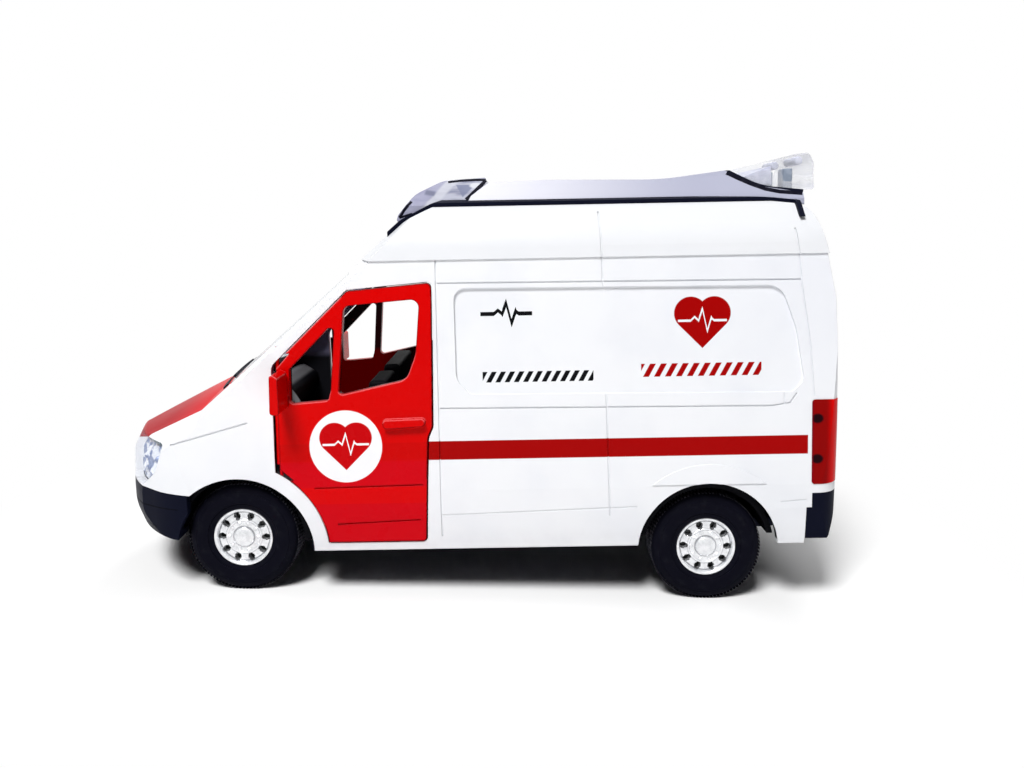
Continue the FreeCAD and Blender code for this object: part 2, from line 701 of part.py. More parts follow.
def polygon_sketch(body, name, role, corners):
    """Closed polygon; each corner is a pair of expressions of the sheet's sizes."""
    sketch = body.newObject("Sketcher::SketchObject", name)
    sketch.AttachmentSupport = (plane_of(body, role), [""])
    sketch.MapMode = "FlatFace"
    values = [tuple(float(body.evalExpression(text)) for text in corner) for corner in corners]
    count = len(corners)
    for i, (a, b) in enumerate(values):
        c, d = values[(i + 1) % count]
        sketch.addGeometry(Part.LineSegment(Vector(a, b, 0), Vector(c, d, 0)), False)
    for i in range(count):
        sketch.addConstraint(Sketcher.Constraint("Coincident", i, 2, (i + 1) % count, 1))
    for i, corner in enumerate(corners):
        for kind, text, value, axis in zip(("DistanceX", "DistanceY"), corner, values[i], (-2, -1)):
            if abs(value) < 1e-9:
                sketch.addConstraint(Sketcher.Constraint("PointOnObject", i, 1, axis))
                continue
            index = sketch.addConstraint(Sketcher.Constraint(kind, -1, 1, i, 1, value))
            sketch.renameConstraint(index, f"{kind[-1].lower()}{i}")
            sketch.setExpression(f"Constraints.{kind[-1].lower()}{i}", text)
    return sketch


def circle_sketch(body, name, role, across_text, up_text, radius_text):
    sketch = body.newObject("Sketcher::SketchObject", name)
    sketch.AttachmentSupport = (plane_of(body, role), [""])
    sketch.MapMode = "FlatFace"
    a, b, radius = (float(body.evalExpression(text)) for text in (across_text, up_text, radius_text))
    sketch.addGeometry(Part.Circle(Vector(a, b, 0), Vector(0, 0, 1), radius), False)
    for kind, text, value, axis in (("DistanceX", across_text, a, -2), ("DistanceY", up_text, b, -1)):
        if abs(value) < 1e-9:
            sketch.addConstraint(Sketcher.Constraint("PointOnObject", 0, 3, axis))
            continue
        index = sketch.addConstraint(Sketcher.Constraint(kind, -1, 1, 0, 3, value))
        sketch.renameConstraint(index, f"centre{kind[-1]}")
        sketch.setExpression(f"Constraints.centre{kind[-1]}", text)
    index = sketch.addConstraint(Sketcher.Constraint("Radius", 0, radius))
    sketch.renameConstraint(index, "radius")
    sketch.setExpression("Constraints.radius", radius_text)
    return sketch


def pad(body, sketch, length_text, midplane=False):
    feature = body.newObject("PartDesign::Pad", f"{sketch.Name}_pad")
    feature.Profile = sketch
    feature.Midplane = midplane
    feature.setExpression("Length", length_text)
    doc.recompute()
    return feature


def round_edges(body, feature, radius, wanted):
    """Fillet on the feature's edges for which wanted(edge) holds."""
    names = [f"Edge{i}" for i, edge in enumerate(feature.Shape.Edges, start=1) if wanted(edge)]
    fillet = body.newObject("PartDesign::Fillet", f"{feature.Name}_rounded")
    fillet.Base = (feature, names)
    fillet.Radius = radius
    return fillet


def bind(feature, expressions):
    for name, text in expressions.items():
        feature.setExpression(name, text)
    return feature


def box_feature(name, x_from, x_to, y_from, y_to, z_from, z_to):
    return bind(doc.addObject("Part::Box", name), {
        "Length": f"({x_to}) - ({x_from})", "Width": f"({y_to}) - ({y_from})",
        "Height": f"({z_to}) - ({z_from})",
        ".Placement.Base.x": x_from, ".Placement.Base.y": y_from, ".Placement.Base.z": z_from})


def rod_feature(name, radius, length, centre, direction):
    """Cylinder bound to the sheet that starts at centre and runs in a direction."""
    rod = bind(doc.addObject("Part::Cylinder", name), {"Radius": radius, "Height": length})
    rod.Placement = Placement(centre, Rotation(Vector(0, 0, 1), direction))
    return rod


def joined(name, features):
    union = doc.addObject("Part::MultiFuse", name)
    union.Shapes = features
    return union


def cut_away(label, base, tools):
    remainder = doc.addObject("Part::Cut", label)
    remainder.Label = label
    remainder.Base = base
    remainder.Tool = tools
    parts.append(remainder)
    return remainder


def revolve(body, sketch, axis="H_Axis"):
    feature = body.newObject("PartDesign::Revolution", f"{sketch.Name}_turned")
    feature.Profile = sketch
    feature.ReferenceAxis = (sketch, [axis])
    feature.Angle = 360.0
    return feature


# ---------------------------------------------------------------- wheel sets

def tyre(label):
    body = new_body(label)
    width, radius, rim = "sizes.tyre_width", "sizes.tyre_radius", "sizes.rim_radius"
    sketch = polygon_sketch(body, f"{label}_profile", "YZ_Plane", [
        ("0.4", rim), ("0", f"{rim} + 1.2"), ("0", f"{radius} - 1.5"), ("0.6", f"{radius} - 0.4"),
        ("1.6", radius), (f"{width} - 1.6", radius), (f"{width} - 0.6", f"{radius} - 0.4"),
        (width, f"{radius} - 1.5"), (width, f"{rim} + 1.2"), (f"{width} - 0.4", rim)])
    revolve(body, sketch)
    return body


def rim(label):
    """Silver wheel: dished disc with a ring of round openings and a raised hub."""
    body = new_body(label)
    width, bead, bore = "sizes.tyre_width", "sizes.rim_radius", "sizes.axle_radius"
    sketch = polygon_sketch(body, f"{label}_profile", "YZ_Plane", [
        ("0.8", bore), ("0.8", "3"), (f"{width} - 3.2", "3"), (f"{width} - 3.2", f"{bead} - 1.2"),
        ("0.8", f"{bead} - 1.2"), ("0.8", bead), (f"{width} - 0.3", bead),
        (f"{width} - 0.3", f"{bead} - 0.6"), (f"{width} - 1.2", f"{bead} - 1.1"), (f"{width} - 0.9", "3.2"),
        (f"{width} - 0.3", "2.2"), (f"{width} - 0.1", "1.4"), (f"{width} - 0.1", "0"),
        (f"{width} - 1.5", "0"), (f"{width} - 1.5", bore)])
    turned = revolve(body, sketch)
    ring_radius = f"({bead} + 2.3) / 2"
    hole_sketch = circle_sketch(body, f"{label}_opening", "XZ_Plane", "0", ring_radius, "0.85")
    hole = body.newObject("PartDesign::Pocket", f"{label}_hole")
    hole.Profile = hole_sketch
    hole.Type = 1
    hole.Reversed = False
    doc.recompute()
    if hole.Shape.Volume > turned.Shape.Volume - 1.0:
        hole.Reversed = True
    ring = body.newObject("PartDesign::PolarPattern", f"{label}_ring")
    ring.Originals = [hole]
    ring.Axis = (sketch, ["H_Axis"])
    ring.Angle = 360.0
    ring.Occurrences = 10
    body.Tip = ring
    return body


wheel_pieces = []
half_track = size("track_outer") / 2
tyre_width = size("tyre_width")
for axle_name, axle_x in (("front", 0.0), ("rear", wheelbase)):
    centre = Vector(axle_x, 0, 0)
    axle = doc.addObject("Part::Cylinder", f"{axle_name}_axle")
    axle.Label = f"{axle_name}_axle"
    axle.setExpression("Radius", "sizes.axle_radius")
    axle.setExpression("Height", "sizes.track_outer - 2 * 1.5")
    axle_end = Placement(centre + Vector(0, half_track - 1.5, 0), Rotation(Vector(1, 0, 0), 90))
    wheel_pieces.append((axle, axle_end, axle_x))
    for side_name, sign in (("left", -1), ("right", 1)):
        turn = Rotation(Vector(0, 0, 1), 0 if sign > 0 else 180)
        seat = Placement(centre + Vector(0, sign * (half_track - tyre_width), 0), turn)
        wheel_pieces.append((tyre(f"{axle_name}_tyre_{side_name}"), seat, axle_x))
        wheel_pieces.append((rim(f"{axle_name}_rim_{side_name}"), seat, axle_x))

# ---------------------------------------------------------------- base plate and interior

plate_low = size("plate_height")
plate_high = plate_low + size("plate_thickness")
waist_half = half_track - tyre_width - 1.5
bearing_length = 4.0
screw_places = {"front": 26.0, "rear": wheelbase - 24.0}


def base_plate():
    """Plate with waists between the wheels and two bearing blocks to each axle."""
    wide = "sizes.body_width / 2 - 0.9 - sizes.wall"
    waist = "sizes.track_outer / 2 - sizes.tyre_width - 1.5"
    front, rear = "15.2 - sizes.nose_reach", "sizes.wheelbase + sizes.tail_reach - 9.4"
    front_waist, rear_waist = "sizes.front_arch_radius - 1", "sizes.wheelbase - sizes.rear_arch_radius"
    half = [(front, waist), (front_waist, waist), (front_waist, wide), (rear_waist, wide),
            (rear_waist, waist), (rear, waist)]
    body = new_body("base_sheet")
    outline = half + [(x, f"-({y})") for x, y in reversed(half)]
    sheet_pad = pad(body, polygon_sketch(body, "base_outline", "XY_Plane", outline), "sizes.plate_thickness")

    def upright_at_tail(edge):
        return edge.BoundBox.XMin > tail - 9.6 and edge.BoundBox.ZLength > 1.0

    round_edges(body, sheet_pad, 2.5, upright_at_tail)
    body.setExpression(".Placement.Base.z", "sizes.plate_height")
    blocks, cuts = [body], []
    low, high = "sizes.plate_height", "sizes.plate_height + sizes.plate_thickness"
    rear_axle_height = "sizes.axle_height - sizes.wheelbase * tan(sizes.rake * 1deg)"
    for name, x, axle in (("front", "0", "sizes.axle_height"), ("rear", "sizes.wheelbase", rear_axle_height)):
        block_low, block_high = f"min({low}; {axle} - 2.6)", f"max({high}; {axle} + 2.6)"
        for side_name, y_from in (("left", f"-({waist})"), ("right", f"{waist} - {bearing_length}")):
            blocks.append(box_feature(f"{name}_bearing_{side_name}", f"{x} - 3", f"{x} + 3", y_from,
                                      f"{y_from} + {bearing_length}", block_low, block_high))
        slot_left, slot_right = f"{bearing_length} - ({waist})", f"{waist} - {bearing_length}"
        cuts.append(box_feature(f"{name}_axle_slot", f"{x} - 1.6", f"{x} + 1.6", slot_left, slot_right,
                                f"{axle} - 1.6", f"{axle} + 1.6"))
        bore = rod_feature(f"{name}_bore", "sizes.axle_radius + sizes.running_gap", "sizes.body_width",
                           Vector(0, -half_width, 0), Vector(0, 1, 0))
        cuts.append(bind(bore, {".Placement.Base.x": x, ".Placement.Base.z": axle}))
        cuts.append(rod_feature(f"{name}_screw_hole", "sizes.screw_radius", "20",
                                Vector(screw_places[name], 0, plate_low - 5.0), Vector(0, 0, 1)))
    return cut_away("base_plate", joined("base_blocks", blocks), joined("base_openings", cuts))


base_plate()

floor_high = size("floor_height")
floor_low = floor_high - size("floor_thickness")
well_radius = size("tyre_radius") + 1.4
tub_gap = 0.3


def interior_tub():
    """Floor pan with firewall and four wheel boxes, on two posts over the base plate."""
    box_wall = 1.2
    box_side = waist_half + 0.8
    pan = block(-14.0, tail - wall - tub_gap, -60, 60, floor_low, floor_high)
    tub = pan.fuse(block(-6.0, -4.6, -60, 60, floor_low, cowl - 6.0))
    above_floor = block(-FAR, FAR, -60, 60, floor_low, FAR)
    below_floor = block(-FAR, FAR, -60, 60, plate_high + 0.1, floor_low)
    wells = []
    for x, z in ((0.0, front_axle_z), (wheelbase, rear_axle_z)):
        for out in (-1, 1):
            outward, box_end = Vector(0, out, 0), Vector(x, out * box_side, z)
            drum = Part.makeCylinder(well_radius + box_wall, 60, box_end - outward * box_wall, outward)
            skirt = Part.makeCylinder(well_radius + box_wall, 60, box_end, outward)
            tub = tub.fuse(drum.common(above_floor)).fuse(skirt.common(below_floor))
            wells.append(Part.makeCylinder(well_radius, 60, box_end, outward))
    tub = tub.common(envelope(wall + tub_gap)).cut(wells[0].multiFuse(wells[1:]))
    for x in screw_places.values():
        post = Part.makeCylinder(2.6, floor_low - plate_high + 0.5, Vector(x, 0, plate_high))
        tub = tub.fuse(post.cut(Part.makeCylinder(0.9, 4.0, Vector(x, 0, plate_high))))
    return tub


add_piece("interior_tub", interior_tub())


def over_the_cushion(edge):
    return edge.BoundBox.ZMin > floor_high + 6.0


def seat(label, y_middle, width):
    """Cushion and back in one block, rounded along its width."""
    body = new_body(label)
    floor = "sizes.floor_height"
    sketch = polygon_sketch(body, f"{label}_side", "XZ_Plane", [
        ("14.4", floor), ("14.4", f"{floor} + 5"), ("12", f"{floor} + 6.4"), ("12", f"{floor} + 9.6"),
        ("23.6", f"{floor} + 8.6"), ("27.2", f"{floor} + 27"), ("31", f"{floor} + 27"), ("27.6", floor)])
    cushion = pad(body, sketch, f"{width}", midplane=True)
    round_edges(body, cushion, 0.9, over_the_cushion)
    seated.append((body, Vector(0, y_middle, 0)))
    parts.append(body)


seated = []
seat("driver_seat", -14.5, 13.0)
seat("passenger_seat", 10.0, 22.0)

dash_face = side_face([(-4.6, cowl - 14.0, 0), (-4.6, cowl - 6.0, 0), (-6.0, cowl - 6.0, 0),
                       (-6.0, cowl - 4.2, 1.0), (1.0, cowl - 1.6, 2.0), (5.2, cowl - 4.6, 1.6),
                       (3.4, cowl - 9.0, 2.0), (0.0, cowl - 14.0, 0)])
doorway = both_sides(across(door_face(gap), 24.5, 60))
add_piece("dashboard", across(dash_face, -60, 60).common(envelope(wall + tub_gap)).cut(doorway))


def steering_wheel():
    """Rim, crossbar and column; the column ends on the face of the dashboard."""
    ring_body = new_body("steering_ring")
    profile = [("4.1", "0.3"), ("4.4", "0.6"), ("4.8", "0.6"), ("5.1", "0.3"),
               ("5.1", "-0.3"), ("4.8", "-0.6"), ("4.4", "-0.6"), ("4.1", "-0.3")]
    revolve(ring_body, polygon_sketch(ring_body, "ring_profile", "XZ_Plane", profile), "V_Axis")
    bar = box_feature("steering_bar", "-4.4", "4.4", "-0.5", "0.5", "-0.35", "0.35")
    hub = rod_feature("steering_hub", "1.4", "1.2", Vector(0, 0, -0.6), Vector(0, 0, 1))
    column = rod_feature("steering_column", "0.8", "9", Vector(0, 0, -9), Vector(0, 0, 1))
    wheel = joined("steering_blank", [ring_body, bar, hub, column])
    lean_angle = math.radians(35)
    column_dir = Vector(math.cos(lean_angle), 0, math.sin(lean_angle))
    column_foot = Vector(3.4, -13.5, cowl - 6.2)
    wheel.Placement = Placement(column_foot + column_dir * 5.0, Rotation(Vector(0, 0, 1), column_dir))
    dash_block = doc.addObject("Part::Feature", "dash_block")
    dash_block.Shape = across(dash_face, -60, 60)
    cut_away("steering_wheel", wheel, dash_block)


steering_wheel()

# ---------------------------------------------------------------- hinge wires

def hinge_wire(label, start, end):
    wire = rod_feature(label, "sizes.hinge_pin_radius", f"{(end - start).Length}", start, end - start)
    wire.Label = label
    parts.append(wire)


def on_right(point):
    return Vector(point.x, -point.y, point.z)


for door_name, foot, head in (("door_pin", on_side_line(door_pin_low), on_side_line(door_pin_high)),
                              ("rear_pin", on_rear_line(rear_pin_low), on_rear_line(rear_pin_high))):
    hinge_wire(f"{door_name}_left", foot, head)
    hinge_wire(f"{door_name}_right", on_right(foot), on_right(head))

# ---------------------------------------------------------------- placing and writing

doc.recompute()
lift = size("tyre_radius") - front_axle_z * math.cos(rake)
tilt = Rotation(Vector(0, 1, 0), -math.degrees(rake))
body_placement = Placement(Vector(0, 0, lift), tilt)


def on_ground(x, z):
    return body_placement.multVec(Vector(x, 0, z))


seat_offsets = {body.Name: offset for body, offset in seated}
for feature in parts:
    own = Placement(seat_offsets.get(feature.Name, Vector()), Rotation()) * feature.Placement
    feature.Placement = body_placement * own
for piece, seat_place, axle_x in wheel_pieces:
    axle_z = front_axle_z if axle_x == 0 else rear_axle_z
    hub = on_ground(axle_x, axle_z)
    piece.Placement = Placement(seat_place.Base - Vector(axle_x, 0, 0) + hub, seat_place.Rotation)
doc.recompute()

pieces = parts + [piece for piece, _, _ in wheel_pieces]
box = FreeCAD.BoundBox()
for piece in pieces:
    box.add(piece.Shape.optimalBoundingBox(False))
centre_shift = Vector(-(box.XMin + box.XMax) / 2, 0, 0)
for piece in pieces:
    piece.Placement = Placement(piece.Placement.Base + centre_shift, piece.Placement.Rotation)
doc.recompute()

for item in doc.Objects:
    if {"Invalid", "Error"} & set(item.State):
        raise RuntimeError(f"{item.Label} did not build: {item.State}")
os.makedirs("parts", exist_ok=True)
for piece in pieces:
    if piece.Shape.isNull() or not piece.Shape.isValid():
        raise RuntimeError(f"{piece.Label} has no valid shape")
    piece.Shape.exportStep(f"parts/{piece.Label}.step")
    print(f"{piece.Label:22s} solids {len(piece.Shape.Solids)} volume {piece.Shape.Volume:9.1f}")


def report(name, point, direction=None):
    place = body_placement.multVec(point) + centre_shift
    text = f"{name}: pos [{place.x:.4f}, {place.y:.4f}, {place.z:.4f}]"
    if direction is not None:
        d = tilt.multVec(direction)
        text += f" axis [{d.x:.6f}, {d.y:.6f}, {d.z:.6f}]"
    print(text)


report("front axle", Vector(0, 0, front_axle_z))
report("rear axle", Vector(wheelbase, 0, rear_axle_z))
report("left door hinge", on_side_line(cowl), door_hinge_dir)
report("left rear door hinge", on_rear_line(cowl), rear_hinge_dir)
report("base plate underside", Vector(50.0, 0, plate_low), Vector(0, 0, -1))
for name, x in screw_places.items():
    report(f"screw hole {name}", Vector(x, 0, plate_low), Vector(0, 0, -1))
print("box", box)
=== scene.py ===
import json
import math

import bmesh
import bpy
from mathutils import Matrix, Vector
from mathutils.bvhtree import BVHTree


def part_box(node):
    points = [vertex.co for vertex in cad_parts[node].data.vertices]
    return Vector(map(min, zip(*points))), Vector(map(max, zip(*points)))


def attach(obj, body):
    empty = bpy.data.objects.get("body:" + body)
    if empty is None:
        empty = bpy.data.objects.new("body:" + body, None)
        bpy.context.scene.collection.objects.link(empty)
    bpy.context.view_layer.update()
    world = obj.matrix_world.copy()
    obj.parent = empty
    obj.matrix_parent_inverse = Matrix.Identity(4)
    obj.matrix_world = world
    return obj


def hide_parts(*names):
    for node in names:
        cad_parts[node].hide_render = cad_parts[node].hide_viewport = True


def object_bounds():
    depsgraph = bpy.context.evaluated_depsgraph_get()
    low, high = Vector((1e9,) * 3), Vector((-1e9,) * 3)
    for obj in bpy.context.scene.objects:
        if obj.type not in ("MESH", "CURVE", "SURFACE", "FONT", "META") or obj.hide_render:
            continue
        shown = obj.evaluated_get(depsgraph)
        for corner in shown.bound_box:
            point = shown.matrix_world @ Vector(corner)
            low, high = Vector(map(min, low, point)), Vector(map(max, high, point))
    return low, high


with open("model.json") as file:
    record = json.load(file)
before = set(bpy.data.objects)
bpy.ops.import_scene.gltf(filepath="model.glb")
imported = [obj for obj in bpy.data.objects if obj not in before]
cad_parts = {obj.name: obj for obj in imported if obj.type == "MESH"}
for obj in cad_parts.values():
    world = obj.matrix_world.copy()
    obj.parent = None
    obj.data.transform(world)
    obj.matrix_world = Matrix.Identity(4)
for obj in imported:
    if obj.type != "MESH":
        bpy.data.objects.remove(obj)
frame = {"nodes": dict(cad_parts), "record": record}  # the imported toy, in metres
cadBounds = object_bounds()
scene = bpy.context.scene
nodes = frame["nodes"]
mm = 0.001
sides = ((-1, "Left"), (1, "Right"))

# The toy's own millimetres: x aft from the front axle, y to the right, z up from under the sills.
# The body leans nose-down, so its millimetres are turned by the rake.
underside = next(mount for mount in frame["record"]["mounts"] if mount["name"] == "base_underside")
rake = math.asin(underside["axis"][0])
frontAxle = sum(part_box("front_axle"), Vector()) / 2
rearAxle = sum(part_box("rear_axle"), Vector()) / 2
axleHeight = 13.66
toyToFrame = (Matrix.Translation(frontAxle) @ Matrix.Rotation(-rake, 4, "Y")
              @ Matrix.Scale(mm, 4) @ Matrix.Translation((0, 0, -axleHeight)))
frameToToy = toyToFrame.inverted()


# A socket in an expression: each operator adds its Math node.
class Wire:
    def __init__(self, graph, socket):
        self.graph = graph
        self.socket = socket

    def maths(self, operation, *others):
        return self.graph.maths(operation, self, *others)

    def __add__(self, other):
        return self.maths("ADD", other)

    __radd__ = __add__

    def __sub__(self, other):
        return self.maths("SUBTRACT", other)

    def __rsub__(self, other):
        return self.graph.maths("SUBTRACT", other, self)

    def __mul__(self, other):
        return self.maths("MULTIPLY", other)

    __rmul__ = __mul__

    def __truediv__(self, other):
        return self.maths("DIVIDE", other)

    def __rtruediv__(self, other):
        return self.graph.maths("DIVIDE", other, self)

    def __abs__(self):
        return self.maths("ABSOLUTE")

    def atLeast(self, other):
        return self.maths("MAXIMUM", other)

    def below(self, other):  # 1 under the other value, else 0
        return self.maths("LESS_THAN", other)

    def ramp(self, start, end):  # smooth 0 to 1 as the value goes from start to end
        return self.graph.add("ShaderNodeMapRange", {"interpolation_type": "SMOOTHSTEP"}, {
            "Value": self, "From Min": start, "From Max": end})

    def between(self, low, high, soft=0.07):
        return self.ramp(low - soft, low + soft) * self.ramp(high + soft, high - soft)


def distance(along, up):
    return (along * along + up * up).maths("SQRT")


class Nodes:
    def __init__(self, tree):
        self.tree = tree

    # one node, with its settings first and then the values or links of its sockets; a list links them all
    def add(self, kind, settings=None, inputs=None, out=0):
        node = self.tree.nodes.new(kind)
        for key, value in (settings or {}).items():
            if key == "stops":
                ramp = node.color_ramp
                while len(ramp.elements) < len(value):
                    ramp.elements.new(0.5)
                for element, (place, colour) in zip(ramp.elements, value):
                    element.position = place
                    element.color = colour
            else:
                setattr(node, key, value)
        for key, value in (inputs or {}).items():
            for given in value if isinstance(value, list) else [value]:
                if isinstance(given, Wire):
                    self.tree.links.new(given.socket, node.inputs[key])
                else:
                    node.inputs[key].default_value = given
        return Wire(self, node.outputs[out])

    def maths(self, operation, *values):
        return self.add("ShaderNodeMath", {"operation": operation}, dict(enumerate(values)))

    def split(self, vector):
        axes = self.add("ShaderNodeSeparateXYZ", None, {0: vector}).socket.node
        return [Wire(self, socket) for socket in axes.outputs]

    def seenBy(self, *kinds):  # 1 for these kinds of ray, else 0
        path = self.add("ShaderNodeLightPath").socket.node
        rays = [Wire(self, path.outputs[f"Is {kind} Ray"]) for kind in kinds]
        seen = rays[0]
        for ray in rays[1:]:
            seen = seen.atLeast(ray)
        return seen


class Graph(Nodes):
    def __init__(self, name):
        self.material = bpy.data.materials.new(name)
        self.material.use_nodes = True
        super().__init__(self.material.node_tree)
        self.tree.nodes.clear()

    def finished(self, shader):
        output = self.tree.nodes.new("ShaderNodeOutputMaterial")
        self.tree.links.new(shader.socket, output.inputs["Surface"])
        return self.material

    def shaded(self, inputs):
        return self.finished(self.add("ShaderNodeBsdfPrincipled", None, inputs))

    def blend(self, mask, under, over):
        inputs = {0: mask, 6: rgba(under), 7: rgba(over)}
        return self.add("ShaderNodeMix", {"data_type": "RGBA"}, inputs, out=2)

    def place(self, shift, turn=0.0):  # the point in millimetres, turned and moved
        point = self.add("ShaderNodeTexCoord", out=3)
        return self.add("ShaderNodeMapping", None, {
            "Vector": point, "Location": shift, "Rotation": (0, turn, 0), "Scale": (1 / mm, 1 / mm, 1 / mm)})

    def toyPlace(self):
        return self.place(frameToToy.to_translation(), rake)

    def wheelPlace(self, centre):  # the point, and its distance from the axle
        point = self.place(-centre / mm)
        x, _, z = self.split(point)
        return point, distance(x, z)

    def noise(self, vector, scale, detail=2.0, squash=(1, 1, 1)):
        stretched = self.add("ShaderNodeMapping", None, {"Vector": vector, "Scale": squash})
        return self.add("ShaderNodeTexNoise", None, {"Vector": stretched, "Scale": scale, "Detail": detail})

    def softEdge(self, radius):
        return self.add("ShaderNodeBevel", {"samples": 6}, {"Radius": radius * mm})

    # how near a bend a point is, and how far that bend looks up
    def edges(self, reach):
        rounded = self.softEdge(reach)
        flat = self.add("ShaderNodeNewGeometry", out=3)
        bent = self.add("ShaderNodeVectorMath", {"operation": "DOT_PRODUCT"}, {0: rounded, 1: flat}, out=1)
        return bent.ramp(0.985, 0.82), self.split(rounded)[2].ramp(0.08, 0.30)

    def ownNormal(self):
        facing = self.add("ShaderNodeNewGeometry", out=3)
        settings = {"vector_type": "NORMAL", "convert_from": "WORLD", "convert_to": "OBJECT"}
        return self.split(self.add("ShaderNodeVectorTransform", settings, {"Vector": facing}))

    def bump(self, height, depth, normal=None):
        inputs = {"Height": height, "Strength": 1.0, "Distance": depth * mm}
        if normal is not None:
            inputs["Normal"] = normal
        return self.add("ShaderNodeBump", None, inputs)


def rgba(colour):
    return colour if isinstance(colour, Wire) or len(colour) == 4 else (*colour, 1.0)


def linked(name, data, place=Matrix()):
    holder = bpy.data.objects.new(name, data)
    holder.matrix_world = place
    scene.collection.objects.link(holder)
    return holder


cameraSetup = {
    "position": (frontAxle.x + 56.1 * mm, -188.0 * mm, 79.2 * mm),
    "pitchDown": 7.5,
    "roll": 0.0200,
    "lens": 28.125,
    "shiftY": -0.0553,
}


def makeCamera(setup):
    camera = bpy.data.cameras.new("camera")
    camera.lens = setup["lens"]
    camera.sensor_width = 36.0
    camera.shift_y = setup["shiftY"]
    camera.clip_start = 0.005
    pitch = Matrix.Rotation(math.radians(90.0 - setup["pitchDown"]), 4, "X")
    roll = Matrix.Rotation(setup["roll"], 4, "Z")
    scene.camera = linked("camera", camera, Matrix.Translation(setup["position"]) @ pitch @ roll)


studio = {
    "skyGlow": 0.006,
    "floorColour": (0.98, 0.98, 0.98),
    "floorHalf": 4.0,
    "floorFade": (0.004, 0.050),  # metres from the toy's box over which the floor turns plain white
    # name: place, aim, size in metres, watts
    "lamps": {
        "overheadLamp": ((0.0, -0.02, 0.70), (0.0, 0.0, 0.03), 0.45, 0.35),
        "frontLamp": ((-0.20, -0.47, 0.79), (0.0, 0.0, 0.04), 0.28, 9.3),
        "backLamp": ((0.20, 0.62, 0.66), (0.0, 0.0, 0.04), 0.50, 3.2),
    },
}


def makeSky(setup):
    scene.view_settings.view_transform = "Standard"
    world = bpy.data.worlds.new("studio")
    scene.world = world
    world.use_nodes = True
    sky = Nodes(world.node_tree)
    seen = sky.seenBy("Camera", "Transmission", "Glossy")
    strength = sky.add("ShaderNodeMapRange", None, {"Value": seen, "To Min": setup["skyGlow"], "To Max": 1.0})
    background = world.node_tree.nodes["Background"]
    background.inputs["Color"].default_value = (1, 1, 1, 1)
    world.node_tree.links.new(strength.socket, background.inputs["Strength"])


def makeLamps(setup):
    for name, (place, aim, size, watts) in setup["lamps"].items():
        lamp = bpy.data.lights.new(name, "AREA")
        lamp.size = size
        lamp.energy = watts
        turn = (Vector(aim) - Vector(place)).to_track_quat("-Z", "Y").to_matrix().to_4x4()
        linked(name, lamp, Matrix.Translation(place) @ turn)


def makeFloor(setup):
    half = setup["floorHalf"]
    mesh = bpy.data.meshes.new("floor")
    corners = [(-half, -half, 0), (half, -half, 0), (half, half, 0), (-half, half, 0)]
    mesh.from_pydata(corners, [], [(0, 1, 2, 3)])
    graph = Graph("floor")
    x, y, _ = graph.split(graph.add("ShaderNodeTexCoord", out=3))
    toyHalf = cadBounds[1]
    pastToy = distance((abs(x) - toyHalf[0]).atLeast(0.0), (abs(y) - toyHalf[1]).atLeast(0.0))
    plainWhere = pastToy.ramp(*setup["floorFade"]) * graph.seenBy("Camera", "Glossy", "Transmission")
    lit = graph.add("ShaderNodeBsdfPrincipled", None, {
        "Base Color": rgba(setup["floorColour"]), "Roughness": 0.75, "Specular IOR Level": 0.05})
    plain = graph.add("ShaderNodeEmission")
    surface = graph.add("ShaderNodeMixShader", None, {0: plainWhere, 1: lit, 2: plain})
    mesh.materials.append(graph.finished(surface))
    linked("floor", mesh)


makeCamera(cameraSetup)
makeSky(studio)
makeLamps(studio)
makeFloor(studio)
print("camera, light and floor ready")

# What is printed on the toy, in its millimetres
decoration = {
    "stripe": {"x": (40.0, 118.4), "z": (30.5, 34.4)},
    # beat: half width, lift above the heart's middle, height and line width
    "doorDisc": {"x": 23.1, "z": 33.7, "radius": 7.5, "heart": 9.0, "beat": (4.8, 0.4, 2.2, 0.22)},
    "rearHeart": {"x": 96.8, "z": 57.9, "heart": 9.6, "beat": (5.0, 0.4, 2.4, 0.24)},
    "redBars": {"x": (84.2, 108.9), "z": (46.9, 49.6), "pitch": 2.25, "slant": 0.55},
    "blackBars": {"x": (51.6, 74.4), "z": (46.3, 48.5), "pitch": 1.9, "slant": 0.55},
    "blackPulse": {"x": (51.4, 62.0), "z": 60.4, "height": 2.2, "width": 0.42},
}
barStroke = (0.12, 0.66)  # from and to, as parts of a bar's pitch
red = (0.62, 0.0, 0.0)
printRed = (0.34, 0.0, 0.0)
printBlack = (0.003, 0.003, 0.004)

# heartbeat line: part of the width, height either side of the middle
pulseBeat = [(0.0, 0.0), (0.26, 0.0), (0.34, 0.32), (0.42, 0.0), (0.50, 1.0), (0.60, -0.9),
             (0.68, 0.22), (0.74, 0.0), (1.0, 0.0)]
pulseSteep = (0.42, 0.69)  # the part of the width where the line is steep, and drawn thicker

# a square on its corner with a lobe on each upper side, in parts of the heart's size
heartShape = {"drop": 0.55, "squareEdge": (0.51, 0.49), "lobe": (0.25, 0.75), "lobeEdge": (0.3626, 0.3446)}


def pulseMask(graph, x, z, left, right, middle, height, width):
    along = (x - left) / (right - left)
    stops = [(place, (0.5 + 0.5 * level,) * 3 + (1.0,)) for place, level in pulseBeat]
    level = graph.add("ShaderNodeValToRGB", {"stops": stops}, {0: along})
    line = (level - 0.5) * (2.0 * height) + middle
    thickness = along.between(*pulseSteep, 0.01) * (1.1 * width) + width
    return abs(z - line).below(thickness) * x.between(left, right, 0.02)


